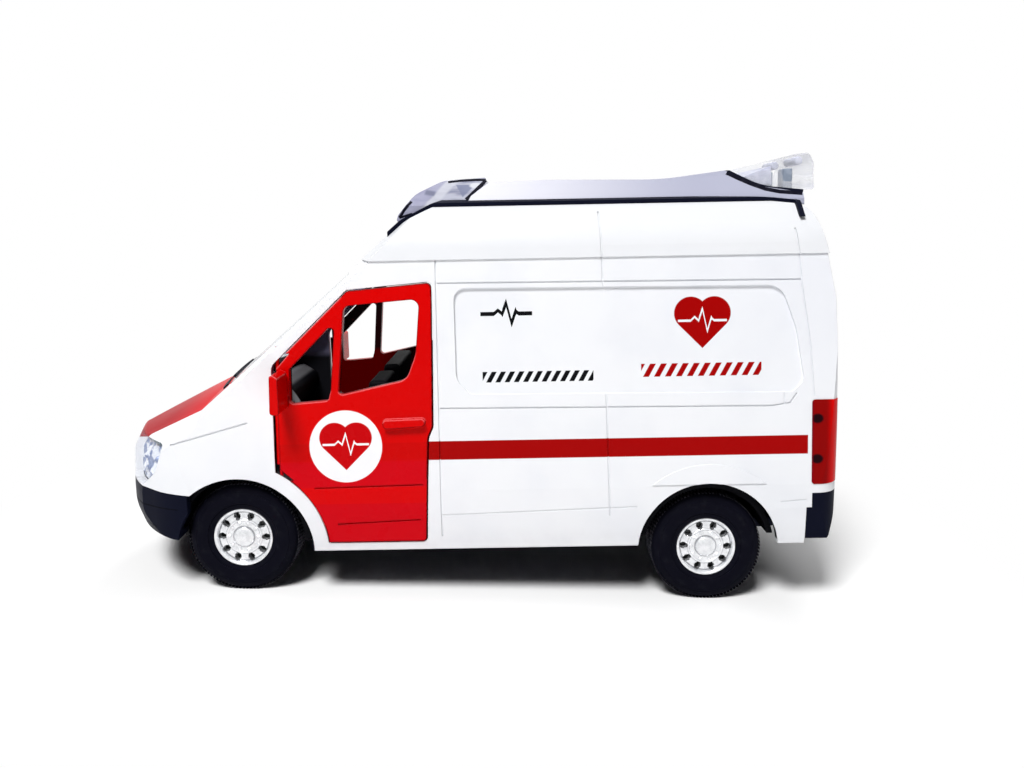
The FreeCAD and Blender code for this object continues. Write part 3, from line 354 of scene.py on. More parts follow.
def heartMask(x, z, spot):
    across = abs((x - spot["x"]) / spot["heart"])
    up = (z - spot["z"]) / spot["heart"] + heartShape["drop"]
    square = (across + abs(up - 0.5)).ramp(*heartShape["squareEdge"])
    lobeAcross, lobeUp = heartShape["lobe"]
    lobe = distance(across - lobeAcross, up - lobeUp).ramp(*heartShape["lobeEdge"])
    return square.atLeast(lobe)


def heartWithBeat(graph, x, z, spot):
    half, lift, height, width = spot["beat"]
    beat = pulseMask(graph, x, z, spot["x"] - half, spot["x"] + half, spot["z"] + lift, height, width)
    return heartMask(x, z, spot) * (1.0 - beat)


def barMask(x, z, bars):
    phase = (x - z * bars["slant"]) / bars["pitch"]
    stroke = phase.maths("FRACT").between(*barStroke, 0.03)
    return stroke * x.between(*bars["x"], 0.04) * z.between(*bars["z"], 0.04)


# The sides lean in above a foot line, so the outer skin is where this distance is large.
sideLean = {"foot": 24.0, "slope": 0.0589}
screenFoot = (-7.6, 44.0)  # x and z of the windscreen's lower edge
screenSquare = (0.603, 0.797)  # the direction square to the windscreen


def outwardOf(y, z):
    return abs(y) + z.atLeast(sideLean["foot"]) * sideLean["slope"]


shellLook = {
    "skin": (28.6, 28.7),
    "doorway": {"x": (7.2, 42.2), "sill": (20.5, 21.0), "inset": 0.5},
    "hollow": {"x": (7.2, 121.2), "z": (12.0, 71.0), "behindScreen": (1.5, 1.7)},
    "pillarFront": {"facing": (-0.2, -0.4), "x": (26.0, 25.0)},
    "innerFace": {"facing": (-3.0, -6.0), "x": (-5.0, 121.2)},
    "bonnet": {"y": (20.46, 20.40), "x": (-2.9, -3.0), "z": (32.6, 32.75), "nose": (-7.0, -19.0)},
    # painted light and shade on the bonnet's red: paler by the windscreen as a painted reflection, deeper at
    # the nose as painted shade
    "bonnetRedShading": ((0.60, 0.0, 0.006), (0.36, 0.0, 0.006)),  # by the windscreen, at the nose
    # painted shade: the rear and upper body turn bluish grey
    "rearShade": {"x": (60.0, 130.0), "z": (20.0, 75.0), "strength": 0.35, "colour": (0.70, 0.72, 0.80)},
    # greyer towards the bottom, in uneven patches
    "sillUnevenGrey": {"z": (17.0, 11.5), "strength": 0.35, "colour": (0.55, 0.55, 0.56)},
    # painted shade: the inside of the shell is near black, and high on the front pillars bluish grey, as white
    # paint in shade
    "insideShadeBlack": (0.014, 0.014, 0.018),
    "pillarInsideShade": {"x": (24.0, 19.0), "z": (43.5, 46.0), "colour": (0.36, 0.34, 0.53)},
}


def decorateShell(graph, place, shade):
    look = shellLook
    x, y, z = graph.split(place)
    roundDoor = x.between(*look["doorway"]["x"], 0.05) * z.ramp(*look["doorway"]["sill"])
    skin = (outwardOf(y, z) - roundDoor * look["doorway"]["inset"]).ramp(*look["skin"])

    # painted shade, bluish grey, over the rear and upper body
    tint, unevenGrey = look["rearShade"], look["sillUnevenGrey"]
    shade = graph.blend(x.ramp(*tint["x"]) * z.ramp(*tint["z"]) * tint["strength"], shade, tint["colour"])
    # greyer towards the bottom, in uneven patches
    low = z.ramp(*unevenGrey["z"]) * graph.noise(place, 0.35, 4.0)
    shade = graph.blend(low * unevenGrey["strength"], shade, unevenGrey["colour"])

    stripe, line = decoration["stripe"], decoration["blackPulse"]
    prints = [
        (x.between(*stripe["x"]) * z.between(*stripe["z"]), printRed),
        (heartWithBeat(graph, x, z, decoration["rearHeart"]), printRed),
        (barMask(x, z, decoration["redBars"]), printRed),
        (barMask(x, z, decoration["blackBars"]), printBlack),
        (pulseMask(graph, x, z, *line["x"], line["z"], line["height"], line["width"]), printBlack),
    ]
    for mask, colour in prints:
        shade = graph.blend(mask * skin, shade, colour)

    bonnet = look["bonnet"]
    # the bonnet's red print, with a painted reflection by the windscreen and painted shade at the nose
    shadedBonnetRed = graph.blend(x.ramp(*bonnet["nose"]), *look["bonnetRedShading"])
    panel = abs(y).ramp(*bonnet["y"]) * x.ramp(*bonnet["x"]) * z.ramp(*bonnet["z"])
    shade = graph.blend(panel, shade, shadedBonnetRed)

    # The inside of the shell is painted with shade: near black, and bluish grey high on the front pillars.
    hollow, front, inner = look["hollow"], look["pillarFront"], look["innerFace"]
    normalX, normalY, _ = graph.ownNormal()
    behindScreen = (x - screenFoot[0]) * screenSquare[0] - (z - screenFoot[1]) * screenSquare[1]
    pillarFront = normalX.ramp(*front["facing"]) * x.ramp(*front["x"])
    inside = (1.0 - skin) * x.between(*hollow["x"], 0.1) * behindScreen.ramp(*hollow["behindScreen"])
    inside = inside * z.between(*hollow["z"], 0.1) * (1.0 - pillarFront)
    innerFace = (normalY * y).ramp(*inner["facing"]) * x.between(*inner["x"], 0.1)
    pillar = look["pillarInsideShade"]
    insideShade = graph.blend(x.ramp(*pillar["x"]) * z.ramp(*pillar["z"]), look["insideShadeBlack"], pillar["colour"])
    return graph.blend(inside.atLeast(innerFace), shade, insideShade)


doorLook = {
    "skin": (28.45, 28.6),
    # z from and to, softness, strength and colour of each band: the stripe's print, painted shade on the lower
    # door, and a painted highlight on the pressed band
    "bands": [
        ((30.6, 34.3), 0.2, 0.3, (0.40, 0.0, 0.0)),
        ((0.0, 30.55), 0.15, 0.9, (0.575, 0.0, 0.006)),
        ((21.6, 25.1), 0.12, 0.8, (0.65, 0.0, 0.0)),
    ],
    "discWhite": (0.86, 0.86, 0.88),
    "heartRed": (0.52, 0.0, 0.002),
    "edgeReach": 0.55,
    # painted shade along the door's edges that don't face up
    "outline": {"strength": 0.9, "colour": (0.07, 0.0, 0.002)},
    "creases": {"x": (13.4, 40.6), "z": (17.0, 26.6), "spared": 0.78},
    # painted highlight on the door's edges that face up
    "glint": {"top": (64.6, 64.0), "foot": (29.0, 30.0), "strength": 0.7, "colour": (0.92, 0.24, 0.26)},
    # painted shade inside the door: dark red low down, near black high up
    "insideShade": {"z": (45.0, 46.5), "top": (67.5, 66.0), "low": (0.15, 0.0, 0.0),
               "high": (0.022, 0.003, 0.004)},
}


def decorateDoor(graph, place, shade):
    look, disc = doorLook, decoration["doorDisc"]
    x, y, z = graph.split(place)
    skin = outwardOf(y, z).ramp(*look["skin"])
    # the stripe's print, then painted shade low on the door and a painted highlight on the pressed band
    for run, soft, strength, colour in look["bands"]:
        shade = graph.blend(z.between(*run, soft) * strength, shade, colour)
    ring = distance(x - disc["x"], z - disc["z"]).ramp(disc["radius"] + 0.06, disc["radius"] - 0.06)
    shade = graph.blend(ring * skin, shade, look["discWhite"])
    shade = graph.blend(heartWithBeat(graph, x, z, disc) * skin, shade, look["heartRed"])

    outline, creases, glint, insideShade = look["outline"], look["creases"], look["glint"], look["insideShade"]
    # Painted shade on edges that don't face up, mostly left off the creases, and a painted highlight on edges
    # that face up.
    edge, upper = graph.edges(look["edgeReach"])
    upper = upper * z.ramp(*glint["top"]) * z.ramp(*glint["foot"])
    spared = z.between(*creases["z"], 0.3) * x.between(*creases["x"], 0.3) * creases["spared"]
    shade = graph.blend(edge * (1.0 - upper) * (outline["strength"] - spared), shade, outline["colour"])
    shade = graph.blend(edge * upper * glint["strength"], shade, glint["colour"])
    # the inside of the door, painted with shade
    inner = graph.blend(z.ramp(*insideShade["z"]), insideShade["low"], insideShade["high"])
    return graph.blend((1.0 - skin) * z.ramp(*insideShade["top"]), shade, inner)


# painted highlight: the top of the dashboard is a lighter grey
dashTopHighlight = {"z": (40.2, 41.0), "colour": (0.16, 0.16, 0.17)}
# painted light: the roof light's cover turns paler towards the front
coverPaintedLight = {"x": (100.0, 50.0), "colour": (0.70, 0.70, 0.77)}  # of the roof light, paler


def decorateDash(graph, place, shade):
    return graph.blend(graph.split(place)[2].ramp(*dashTopHighlight["z"]), shade, dashTopHighlight["colour"])


def decorateCover(graph, place, shade):
    return graph.blend(graph.split(place)[0].ramp(*coverPaintedLight["x"]), shade, coverPaintedLight["colour"])


tailLamp = {
    # x and z of the two screw dots, how round they are, and their edge
    "dots": [(120.3, 37.8), (120.3, 29.4)], "dotSquash": 0.806, "dotEdge": (1.2, 0.75),
    "dotColour": (0.012, 0.0, 0.002),
    "border": {"x": (119.7, 119.3), "strength": 0.6, "colour": (0.16, 0.0, 0.01)},
    # painted highlight: brighter red towards the back of the lamp
    "paintedHighlight": {"x": (122.0, 124.0), "strength": 0.75, "colour": (0.85, 0.0, 0.0)},
}


def decorateTailLamp(graph, place, shade):
    x, _, z = graph.split(place)
    for dotX, dotZ in tailLamp["dots"]:
        dot = distance((x - dotX) * tailLamp["dotSquash"], z - dotZ).ramp(*tailLamp["dotEdge"])
        shade = graph.blend(dot, shade, tailLamp["dotColour"])
    for band in (tailLamp["border"], tailLamp["paintedHighlight"]):
        shade = graph.blend(x.ramp(*band["x"]) * band["strength"], shade, band["colour"])
    return shade


# The front lens is painted with the light and shade seen in the clear lens: a pale band, a dark tip, a dark
# facet, a dark dash, and a glint as a painted highlight; the flutes are faint stripes.
frontLens = {
    "slant": 0.9,  # the gap and the tip follow x less this part of z
    "flutes": {"perMm": 2.4, "strength": 0.2, "colour": (0.30, 0.31, 0.42)},
    "gap": {"run": (-34.9, -32.4, 0.5), "strength": 0.8, "colour": (0.60, 0.61, 0.68)},
    "tip": {"run": (-34.6, -35.4), "strength": 0.8, "colour": (0.36, 0.36, 0.50)},
    "facet": {"front": (94.0, 94.4), "back": (-36.4, -36.8), "top": (87.2, 87.0), "strength": 0.85,
              "colour": (0.20, 0.22, 0.33)},
    "dash": {"along": (-0.8, 1.4, 0.3), "up": (-0.55, 0.55, 0.3), "strength": 0.8,
             "colour": (0.16, 0.17, 0.25)},
    "glint": {"x": 50.6, "z": 86.9, "squash": (0.5477, 1.2649), "edge": (0.95, 0.55), "strength": 1.0,
              "colour": (0.68, 0.69, 0.74)},
}


def decorateFrontLens(graph, place, shade):
    x, y, z = graph.split(place)
    slant = x - z * frontLens["slant"]
    facet, dash, glint = (frontLens[key] for key in ("facet", "dash", "glint"))
    across, up = glint["squash"]
    # painted light and shade seen in the clear lens
    masks = {
        "flutes": (y * frontLens["flutes"]["perMm"]).maths("SINE") * 0.5 + 0.5,
        "gap": slant.between(*frontLens["gap"]["run"]),
        "tip": slant.ramp(*frontLens["tip"]["run"]),
        "facet": (x + z * 0.55).ramp(*facet["front"]) * (x - z).ramp(*facet["back"]) * z.ramp(*facet["top"]),
        "dash": (x - z * 0.35 - 10.6).between(*dash["along"]) * (z + x * 0.2 - 93.6).between(*dash["up"]),
        "glint": distance((x - glint["x"]) * across, (z - glint["z"]) * up).ramp(*glint["edge"]),
    }
    for key, mask in masks.items():
        shade = graph.blend(mask * frontLens[key]["strength"], shade, frontLens[key]["colour"])
    return shade


finishes = {
    # colour, darker tint, roughness, gloss level, grain size in mm, grain depth in mm, soft edge in mm
    "whitePaint": ((0.83, 0.84, 0.865), (0.70, 0.72, 0.78), 0.34, 0.06, 0.9, 0.004, 0.16),
    # the roof cap's white, painted darker as shade because its top takes more light
    "capShadedWhite": ((0.74, 0.75, 0.775), (0.66, 0.68, 0.72), 0.34, 0.06, 0.9, 0.004, 0.16),
    "redPaint": (red, (0.54, 0.0, 0.0), 0.28, 0.06, 0.8, 0.004, 0.18),
    "blackPlastic": ((0.0040, 0.005, 0.014), (0.0025, 0.003, 0.008), 0.42, 0.03, 0.35, 0.010, 0.14),
    "cabinPlastic": ((0.0035, 0.0035, 0.005), (0.002, 0.002, 0.003), 0.55, 0.03, 0.30, 0.012, 0.14),
    # light grey for the steering wheel: a painted highlight on its rim
    "steeringHighlightGrey": ((0.20, 0.20, 0.21), (0.14, 0.14, 0.15), 0.45, 0.10, 0.30, 0.010, 0.14),
    "coverPlastic": ((0.41, 0.42, 0.53), (0.37, 0.38, 0.49), 0.34, 0.12, 0.6, 0.005, 0.14),
    "redLens": ((0.25, 0.0, 0.0), (0.15, 0.0, 0.0), 0.16, 0.03, 0.5, 0.004, 0.12),
    # the rubber's tint is paler: it is the painted highlight on the lug tops
    "rubber": ((0.0034, 0.0034, 0.0075), (0.07, 0.07, 0.085), 0.62, 0.03, 0.22, 0.012, 0.0),
    "steelWire": ((0.55, 0.55, 0.57), (0.30, 0.30, 0.32), 0.28, 0.5, 0.3, 0.004, 0.0),
    "chrome": ((0.86, 0.87, 0.89), (0.60, 0.61, 0.64), 0.20, 0.5, 0.4, 0.003, 0.0),
}
finishes["dashPlastic"] = finishes["cabinPlastic"]
clears = {
    # colour, streak colour, least opacity, how early a glancing view turns opaque, gloss level, coat
    "windowClear": ((0.80, 0.86, 0.90), (0.74, 0.80, 0.86), 0.08, 0.2, 0.6, 0.4),
    "lampClear": ((0.80, 0.84, 0.92), (0.55, 0.62, 0.78), 0.05, 0.03, 0.25, 0.05),
    # the front lens: nearly opaque grey lavender, painted reflection and shade for what is seen in the clear
    # lens
    "frontLensClear": ((0.52, 0.53, 0.62), (0.22, 0.23, 0.33), 0.92, 0.35, 0.06, 0.02),
    "rearLensClear": ((0.93, 0.94, 0.97), (0.80, 0.81, 0.90), 0.16, 0.3, 0.6, 0.4),
}


def makeFinish(name, decorate=None, extra=None):
    colour, tint, roughness, gloss, grain, depth, soft = finishes[name]
    graph = Graph(name)
    place = graph.toyPlace()
    cloud = graph.noise(place, 0.06, 3.0).ramp(0.42, 0.72)
    shade = graph.blend(cloud * 0.30, colour, tint)
    if decorate:
        shade = decorate(graph, place, shade)
    grainBump = graph.bump(graph.noise(place, 1.0 / grain), depth, graph.softEdge(soft) if soft else None)
    rough = graph.noise(place, 0.25, 3.0) * 0.10 + (roughness - 0.05)
    return graph.shaded({"Base Color": shade, "Roughness": rough, "Normal": grainBump,
                         "Specular IOR Level": gloss, **(extra or {})})


def makeClear(name, decorate=None):
    colour, tint, opacity, edge, gloss, coat = clears[name]
    graph = Graph(name)
    place = graph.toyPlace()
    streak = graph.noise(place, 0.5, 2.0, (0.35, 0.12, 1.6)).ramp(0.38, 0.66)
    shade = graph.blend(streak, colour, tint)
    if decorate:
        shade = decorate(graph, place, shade)
    facing = graph.add("ShaderNodeLayerWeight", None, {"Blend": edge}, out=1)
    alpha = facing * (1.0 - opacity) + opacity
    ripple = graph.bump(graph.noise(place, 0.8, 1.0), 0.01, graph.softEdge(0.15))
    return graph.shaded({"Base Color": shade, "Roughness": 0.08, "Alpha": alpha, "Normal": ripple,
                         "Specular IOR Level": gloss, "Coat Weight": coat, "Coat Roughness": 0.04})


whitePaint = makeFinish("whitePaint", decorateShell)
capShadedWhite = makeFinish("capShadedWhite")
redPaint = makeFinish("redPaint", decorateDoor)
blackPlastic = makeFinish("blackPlastic")
cabinPlastic = makeFinish("cabinPlastic")
coverPlastic = makeFinish("coverPlastic", decorateCover)
redLens = makeFinish("redLens", decorateTailLamp, {"Coat Weight": 0.04, "Coat Roughness": 0.05})
steelWire = makeFinish("steelWire", None, {"Metallic": 1.0})
steeringHighlightGrey = makeFinish("steeringHighlightGrey")
dashPlastic = makeFinish("dashPlastic", decorateDash)
windowClear = makeClear("windowClear")
lampClear = makeClear("lampClear")
frontLensClear = makeClear("frontLensClear", decorateFrontLens)
rearLensClear = makeClear("rearLensClear")

carried = {
    "white_paint": whitePaint, "white_plastic": capShadedWhite, "red_paint": redPaint, "clear": windowClear,
    "red_lens": redLens, "black_plastic": blackPlastic, "grey_plastic": coverPlastic,
    "silver": steelWire, "steel": steelWire, "tyre": blackPlastic,
}
ownFinish = {
    "head_lamp_left": lampClear, "head_lamp_right": lampClear, "light_front_lens": frontLensClear,
    "light_rear_lens": rearLensClear, "interior_tub": cabinPlastic, "dashboard": dashPlastic,
    "driver_seat": cabinPlastic, "passenger_seat": cabinPlastic, "steering_wheel": steeringHighlightGrey,
    "door_pin_left": redPaint, "door_pin_right": redPaint,
}
for part in frame["record"]["subparts"]:
    material = ownFinish.get(part["node"], carried[part["material_slot"]])
    for materialSlot in nodes[part["node"]].material_slots:
        materialSlot.material = material
print("finishes set on the CAD nodes")


def addPiece(name, mesh, body, material, stands=()):
    piece = linked(name, mesh)
    mesh.materials.clear()
    mesh.materials.append(material)
    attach(piece, body)
    if stands:
        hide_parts(*stands)


def closeMesh(name, form, place=toyToFrame, smoothAngle=40.0):
    bmesh.ops.remove_doubles(form, verts=form.verts, dist=1e-5)
    bmesh.ops.recalc_face_normals(form, faces=form.faces)
    mesh = bpy.data.meshes.new(name)
    form.to_mesh(mesh)
    form.free()
    mesh.transform(place)
    mesh.polygons.foreach_set("use_smooth", [True] * len(mesh.polygons))
    mesh.set_sharp_from_angle(angle=math.radians(smoothAngle))
    return mesh


def joinRings(form, rows, loop=False):  # faces between rings of points; a ring may be one point
    count = max(len(row) for row in rows)
    rings = [[form.verts.new(point) for point in row] for row in rows]
    pairs = list(zip(rings, rings[1:])) + ([(rings[-1], rings[0])] if loop else [])
    for one, two in pairs:
        for k in range(count):
            corners = [one[k % len(one)], one[(k + 1) % len(one)], two[(k + 1) % len(two)], two[k % len(two)]]
            form.faces.new(list(dict.fromkeys(corners)))
    return rings


def closedTube(form, rows):  # rings joined, with a face over each end
    rings = joinRings(form, rows)
    return [form.faces.new(rings[0][::-1]), form.faces.new(rings[-1])]


def layGrid(form, grid):  # faces over a grid of corners, where all four are there
    for i, j in grid:
        corners = [grid.get(key) for key in ((i, j), (i, j + 1), (i + 1, j + 1), (i + 1, j))]
        if all(corners):
            form.faces.new(corners)


def surfaceOf(*names):
    points, faces = [], []
    for name in names:
        mesh = nodes[name].data
        start = len(points)
        points += [frameToToy @ vertex.co for vertex in mesh.vertices]
        faces += [[start + corner for corner in polygon.vertices] for polygon in mesh.polygons]
    return BVHTree.FromPolygons(points, faces)


def firstHit(surface, start, towards):
    place, normal, _, _ = surface.ray_cast(Vector(start), Vector(towards).normalized())
    if place is None:
        return None
    return place, (normal if normal.dot(Vector(towards)) < 0 else -normal)


def onSide(surface, side, x, z):
    return firstHit(surface, (x, side * 60, z), (0, -side, 0))


def onScreen(surface, y, z):
    return firstHit(surface, (-60, y, z), (1, 0, 0))


def evenly(points, step):
    path = []
    for (x1, z1), (x2, z2) in zip(points, points[1:]):
        count = max(1, round(math.hypot(x2 - x1, z2 - z1) / step))
        path += [(x1 + (x2 - x1) * i / count, z1 + (z2 - z1) * i / count) for i in range(count)]
    return path + [points[-1]]


def layStrip(form, hits, width, rise, sink=0.12):  # a flat bar along points on a surface
    hits = [hit for hit in hits if hit]
    rows = []
    for i, (place, normal) in enumerate(hits):
        ahead = hits[min(i + 1, len(hits) - 1)][0] - hits[max(i - 1, 0)][0]
        beside = normal.cross(ahead).normalized() * (width / 2)
        rows.append([place + beside - normal * sink, place + beside * 0.8 + normal * rise,
                     place - beside * 0.8 + normal * rise, place - beside - normal * sink])
    closedTube(form, rows)


# Wheels: a carcass with rows of lugs, and a hubcap with its nuts
wheelLook = {
    "tyreSegments": 120,
    "lugCount": 96, "lugRows": 4, "lugRadius": 11.54, "lugSpacing": 1.72,
    "lugSize": (0.10, 1.42, 0.46),  # outwards, across the tread, round it
    "lugTaper": 0.82, "treadMiddle": 4.0,
    "capSegments": 200,
    "nutCount": 10, "nutRadius": 3.05, "nutPlace": 7.06,
    "nutProfile": [(-0.25, 0.42), (0.17, 0.42), (0.27, 0.294)],  # height, half width
    "holeCount": 10, "holeRadius": 4.62, "holeHalf": (0.80, 0.58), "holeDepth": 1.5,
    "holeEdge": (1.08, 0.22),  # start and width of the slope, in parts of holeHalf
    "holeRings": (3.7, 0.09, 20),  # first radius, step and number of the fine rings round the holes
}
# distance from the inner face, radius
carcassProfile = [(0.5, 6.25), (0.15, 6.9), (0.02, 8.3), (0.10, 9.7), (0.42, 10.8), (1.0, 11.36),
                  (1.7, 11.52), (6.3, 11.52), (7.0, 11.36), (7.58, 10.8), (7.84, 9.95), (7.80, 9.85),
                  (7.93, 9.7), (7.98, 8.3), (7.90, 7.5), (7.70, 7.4), (7.74, 7.2), (7.50, 6.75), (7.40, 6.25)]
# radius, distance from the inner face
capProfile = [(0.0, 7.86), (0.9, 7.84), (1.6, 7.76), (1.95, 7.60), (2.12, 7.38), (2.22, 7.10), (2.45, 7.04),
              (3.05, 7.06), (3.35, 7.08), (3.46, 7.22), (3.60, 7.28), (3.74, 7.22), (3.86, 7.06), (4.1, 6.98),
              (5.2, 6.92), (5.36, 6.84), (5.46, 6.98), (5.62, 7.40), (5.80, 7.62), (6.0, 7.70), (6.18, 7.62),
              (6.27, 7.40)]
capBack = [(6.27, 0.8), (5.1, 0.8), (5.1, 4.8), (3.0, 4.8), (3.0, 0.8), (0.0, 0.8)]


def alongProfile(profile, radius):
    for (r1, y1), (r2, y2) in zip(profile, profile[1:]):
        if radius <= r2:
            return y1 + (y2 - y1) * (radius - r1) / (r2 - r1)
    return profile[-1][1]


def circle(radius, y, count):
    if radius < 1e-6:
        return [Vector((0, y, 0))]
    return [Vector((radius * math.cos(turn), y, radius * math.sin(turn)))
            for turn in (2 * math.pi * k / count for k in range(count))]


def carcassForm():
    form = bmesh.new()
    joinRings(form, [circle(radius, y, wheelLook["tyreSegments"]) for y, radius in carcassProfile], True)
    return form


def holeDip(radius, turn):  # 0 on the face of the cap to 1 at the bottom of a hole
    step = 2 * math.pi / wheelLook["holeCount"]
    off = (turn + step / 2) % step - step / 2
    (along, beside), (start, slope) = wheelLook["holeHalf"], wheelLook["holeEdge"]
    away = math.hypot((radius - wheelLook["holeRadius"]) / along, off * wheelLook["holeRadius"] / beside)
    return min(max((start - away) / slope, 0.0), 1.0)


def hubcapForm():
    form = bmesh.new()
    first, step, number = wheelLook["holeRings"]
    radii = sorted({radius for radius, _ in capProfile} | {first + step * i for i in range(number)})
    rows, dips = [], []
    for radius in radii:
        row = circle(radius, alongProfile(capProfile, radius), wheelLook["capSegments"])
        for point in row:
            dip = holeDip(radius, math.atan2(point.z, point.x))
            point.y -= dip * wheelLook["holeDepth"]
            dips.append(dip)
        rows.append(row)
    for radius, y in capBack:
        row = circle(radius, y, wheelLook["capSegments"])
        rows.append(row)
        dips += [0.0] * len(row)
    joinRings(form, rows)
    layer = form.verts.layers.float.new("holeDepth")
    for vertex, dip in zip(form.verts, dips):
        vertex[layer] = dip
    return form


def closedBlock(name, rows):
    form = bmesh.new()
    closedTube(form, rows)
    return bpy.data.objects.new(name, closeMesh(name, form, Matrix(), 20.0))


def lugBlock(size, taper):
    out, across, around = (extent / 2 for extent in size)
    corners = ((-1, -1), (1, -1), (1, 1), (-1, 1))
    return closedBlock("lug", [[(x, sy * across * part, sz * around * part) for sy, sz in corners]
                               for x, part in ((-out, 1.0), (out, taper))])


lug = lugBlock(wheelLook["lugSize"], wheelLook["lugTaper"])
nut = closedBlock("nut", [circle(radius, y, 6) for y, radius in wheelLook["nutProfile"]])


# Geometry nodes that set rows of a source block round an axis
ringSockets = {
    "Geometry": "Geometry", "Block": "Object", "Finish": "Material", "Count": "Int", "Rows": "Int",
    "Radius": "Float", "First Row": "Float", "Row Spacing": "Float",
}


def ringTree():
    group = bpy.data.node_groups.new("ringOfBlocks", "GeometryNodeTree")
    newSocket = group.interface.new_socket
    names = {name: newSocket(name, in_out="INPUT", socket_type=f"NodeSocket{kind}").identifier
             for name, kind in ringSockets.items()}
    newSocket("Geometry", in_out="OUTPUT", socket_type="NodeSocketGeometry")
    tree = Nodes(group)
    given = tree.add("NodeGroupInput").socket.node
    wire = {name: Wire(tree, given.outputs[name]) for name in names}
    index = tree.add("GeometryNodeInputIndex")
    row = (index / wire["Count"]).maths("FLOOR")
    step = index - row * wire["Count"]
    stagger = row.maths("MODULO", 2.0) * 0.5
    turn = (step + stagger) * (2 * math.pi) / wire["Count"]
    place = tree.add("ShaderNodeCombineXYZ", None, {
        0: turn.maths("COSINE") * wire["Radius"], 1: wire["First Row"] + row * wire["Row Spacing"],
        2: turn.maths("SINE") * wire["Radius"]})
    points = tree.add("GeometryNodePoints", None, {"Count": wire["Count"] * wire["Rows"], "Position": place})
    block = tree.add("GeometryNodeObjectInfo", None, {"Object": wire["Block"]}, out=4)
    euler = tree.add("ShaderNodeCombineXYZ", None, {1: turn * -1.0})
    rotation = tree.add("FunctionNodeEulerToRotation", None, {0: euler})
    instances = {"Points": points, "Instance": block, "Rotation": rotation}
    blocks = tree.add("GeometryNodeInstanceOnPoints", None, instances)
    real = tree.add("GeometryNodeRealizeInstances", None, {0: blocks})
    joined = tree.add("GeometryNodeJoinGeometry", None, {0: [real, wire["Geometry"]]})
    coloured = tree.add("GeometryNodeSetMaterial", None, {"Geometry": joined, "Material": wire["Finish"]})
    group.links.new(coloured.socket, group.nodes.new("NodeGroupOutput").inputs[0])
    return group, names


ringGroup, ringInputs = ringTree()


def withRing(name, mesh, values):  # the mesh joined with its ring of blocks, as a plain mesh
    carrier = linked(name, mesh)
    modifier = carrier.modifiers.new("ring", "NODES")
    modifier.node_group = ringGroup
    for key, value in values.items():
        modifier[ringInputs[key]] = value
    bpy.context.view_layer.update()
    plain = bpy.data.meshes.new_from_object(carrier.evaluated_get(bpy.context.evaluated_depsgraph_get()))
    carrier.modifiers.remove(modifier)
    bpy.data.objects.remove(carrier)
    return plain


# painted highlight on the lug tops, and uneven paler patches on the sidewall
rubberHighlightAndGrey = {"lugTops": (11.50, 11.58), "unevenGreySide": (11.2, 10.0), "unevenGrey": (0.012, 0.013, 0.017)}


def makeRubber(name, centre):
    colour, tint, roughness, gloss, grain, depth, _ = finishes["rubber"]
    graph = Graph(name)
    place, radius = graph.wheelPlace(centre)
    # painted highlight on the lug tops
    litLugTops = radius.ramp(*rubberHighlightAndGrey["lugTops"]) * graph.noise(place, 1.2).ramp(0.30, 0.60)
    shade = graph.blend(litLugTops, colour, tint)
    unevenGreyPatches = graph.noise(place, 0.5, 4.0).ramp(0.5, 0.8) * radius.ramp(*rubberHighlightAndGrey["unevenGreySide"])
    shade = graph.blend(unevenGreyPatches * 0.5, shade, rubberHighlightAndGrey["unevenGrey"])
    rough = graph.noise(place, 0.4, 3.0) * 0.16 + (roughness - 0.08)
    return graph.shaded({"Base Color": shade, "Roughness": rough, "Specular IOR Level": gloss,
                         "Normal": graph.bump(graph.noise(place, 1.0 / grain), depth)})


chromeLook = {
    # radius from and to, and strength, of the painted shade in the cap's creases
    "creases": [((5.28, 5.48), 0.55), ((2.14, 2.40), 0.6), ((3.84, 3.98), 0.3)],
    "creaseShade": (0.16, 0.165, 0.18), "holeColour": (0.018, 0.022, 0.022), "metallic": 0.85,
}


def makeChrome(name, centre):
    colour, tint, roughness, _, grain, depth, _ = finishes["chrome"]
    graph = Graph(name)
    place, radius = graph.wheelPlace(centre)
    hole = graph.add("ShaderNodeAttribute", {"attribute_name": "holeDepth"}, out=2)
    shade = graph.blend(graph.noise(place, 0.8, 3.0).ramp(0.4, 0.7) * 0.5, colour, tint)
    # painted shade in the cap's creases
    creaseShading = sum(radius.between(*run, 0.05) * strength for run, strength in chromeLook["creases"])
    shade = graph.blend(creaseShading, shade, chromeLook["creaseShade"])
    shade = graph.blend(hole.ramp(0.25, 0.85), shade, chromeLook["holeColour"])
    rough = graph.noise(place, 0.6, 3.0) * 0.14 + (roughness - 0.05)
    return graph.shaded({"Base Color": shade, "Roughness": rough,
                         "Normal": graph.bump(graph.noise(place, 1.0 / grain), depth),
                         "Metallic": hole.ramp(0.9, 0.2) * chromeLook["metallic"]})


def makeTyre(rubber):
    run = wheelLook["lugSpacing"] * (wheelLook["lugRows"] - 1)
    return withRing("tyre", closeMesh("carcass", carcassForm(), Matrix(), 35.0), {
        "Block": lug, "Finish": rubber, "Count": wheelLook["lugCount"], "Rows": wheelLook["lugRows"],
        "Radius": wheelLook["lugRadius"] + wheelLook["lugSize"][0] / 2 - 0.02,
        "First Row": wheelLook["treadMiddle"] - run / 2, "Row Spacing": wheelLook["lugSpacing"]})


def makeHubcap(chrome):
    return withRing("hub", closeMesh("hub", hubcapForm(), Matrix(), 35.0), {
        "Block": nut, "Finish": chrome, "Count": wheelLook["nutCount"], "Rows": 1,
        "Radius": wheelLook["nutRadius"], "First Row": wheelLook["nutPlace"], "Row Spacing": 0.0})


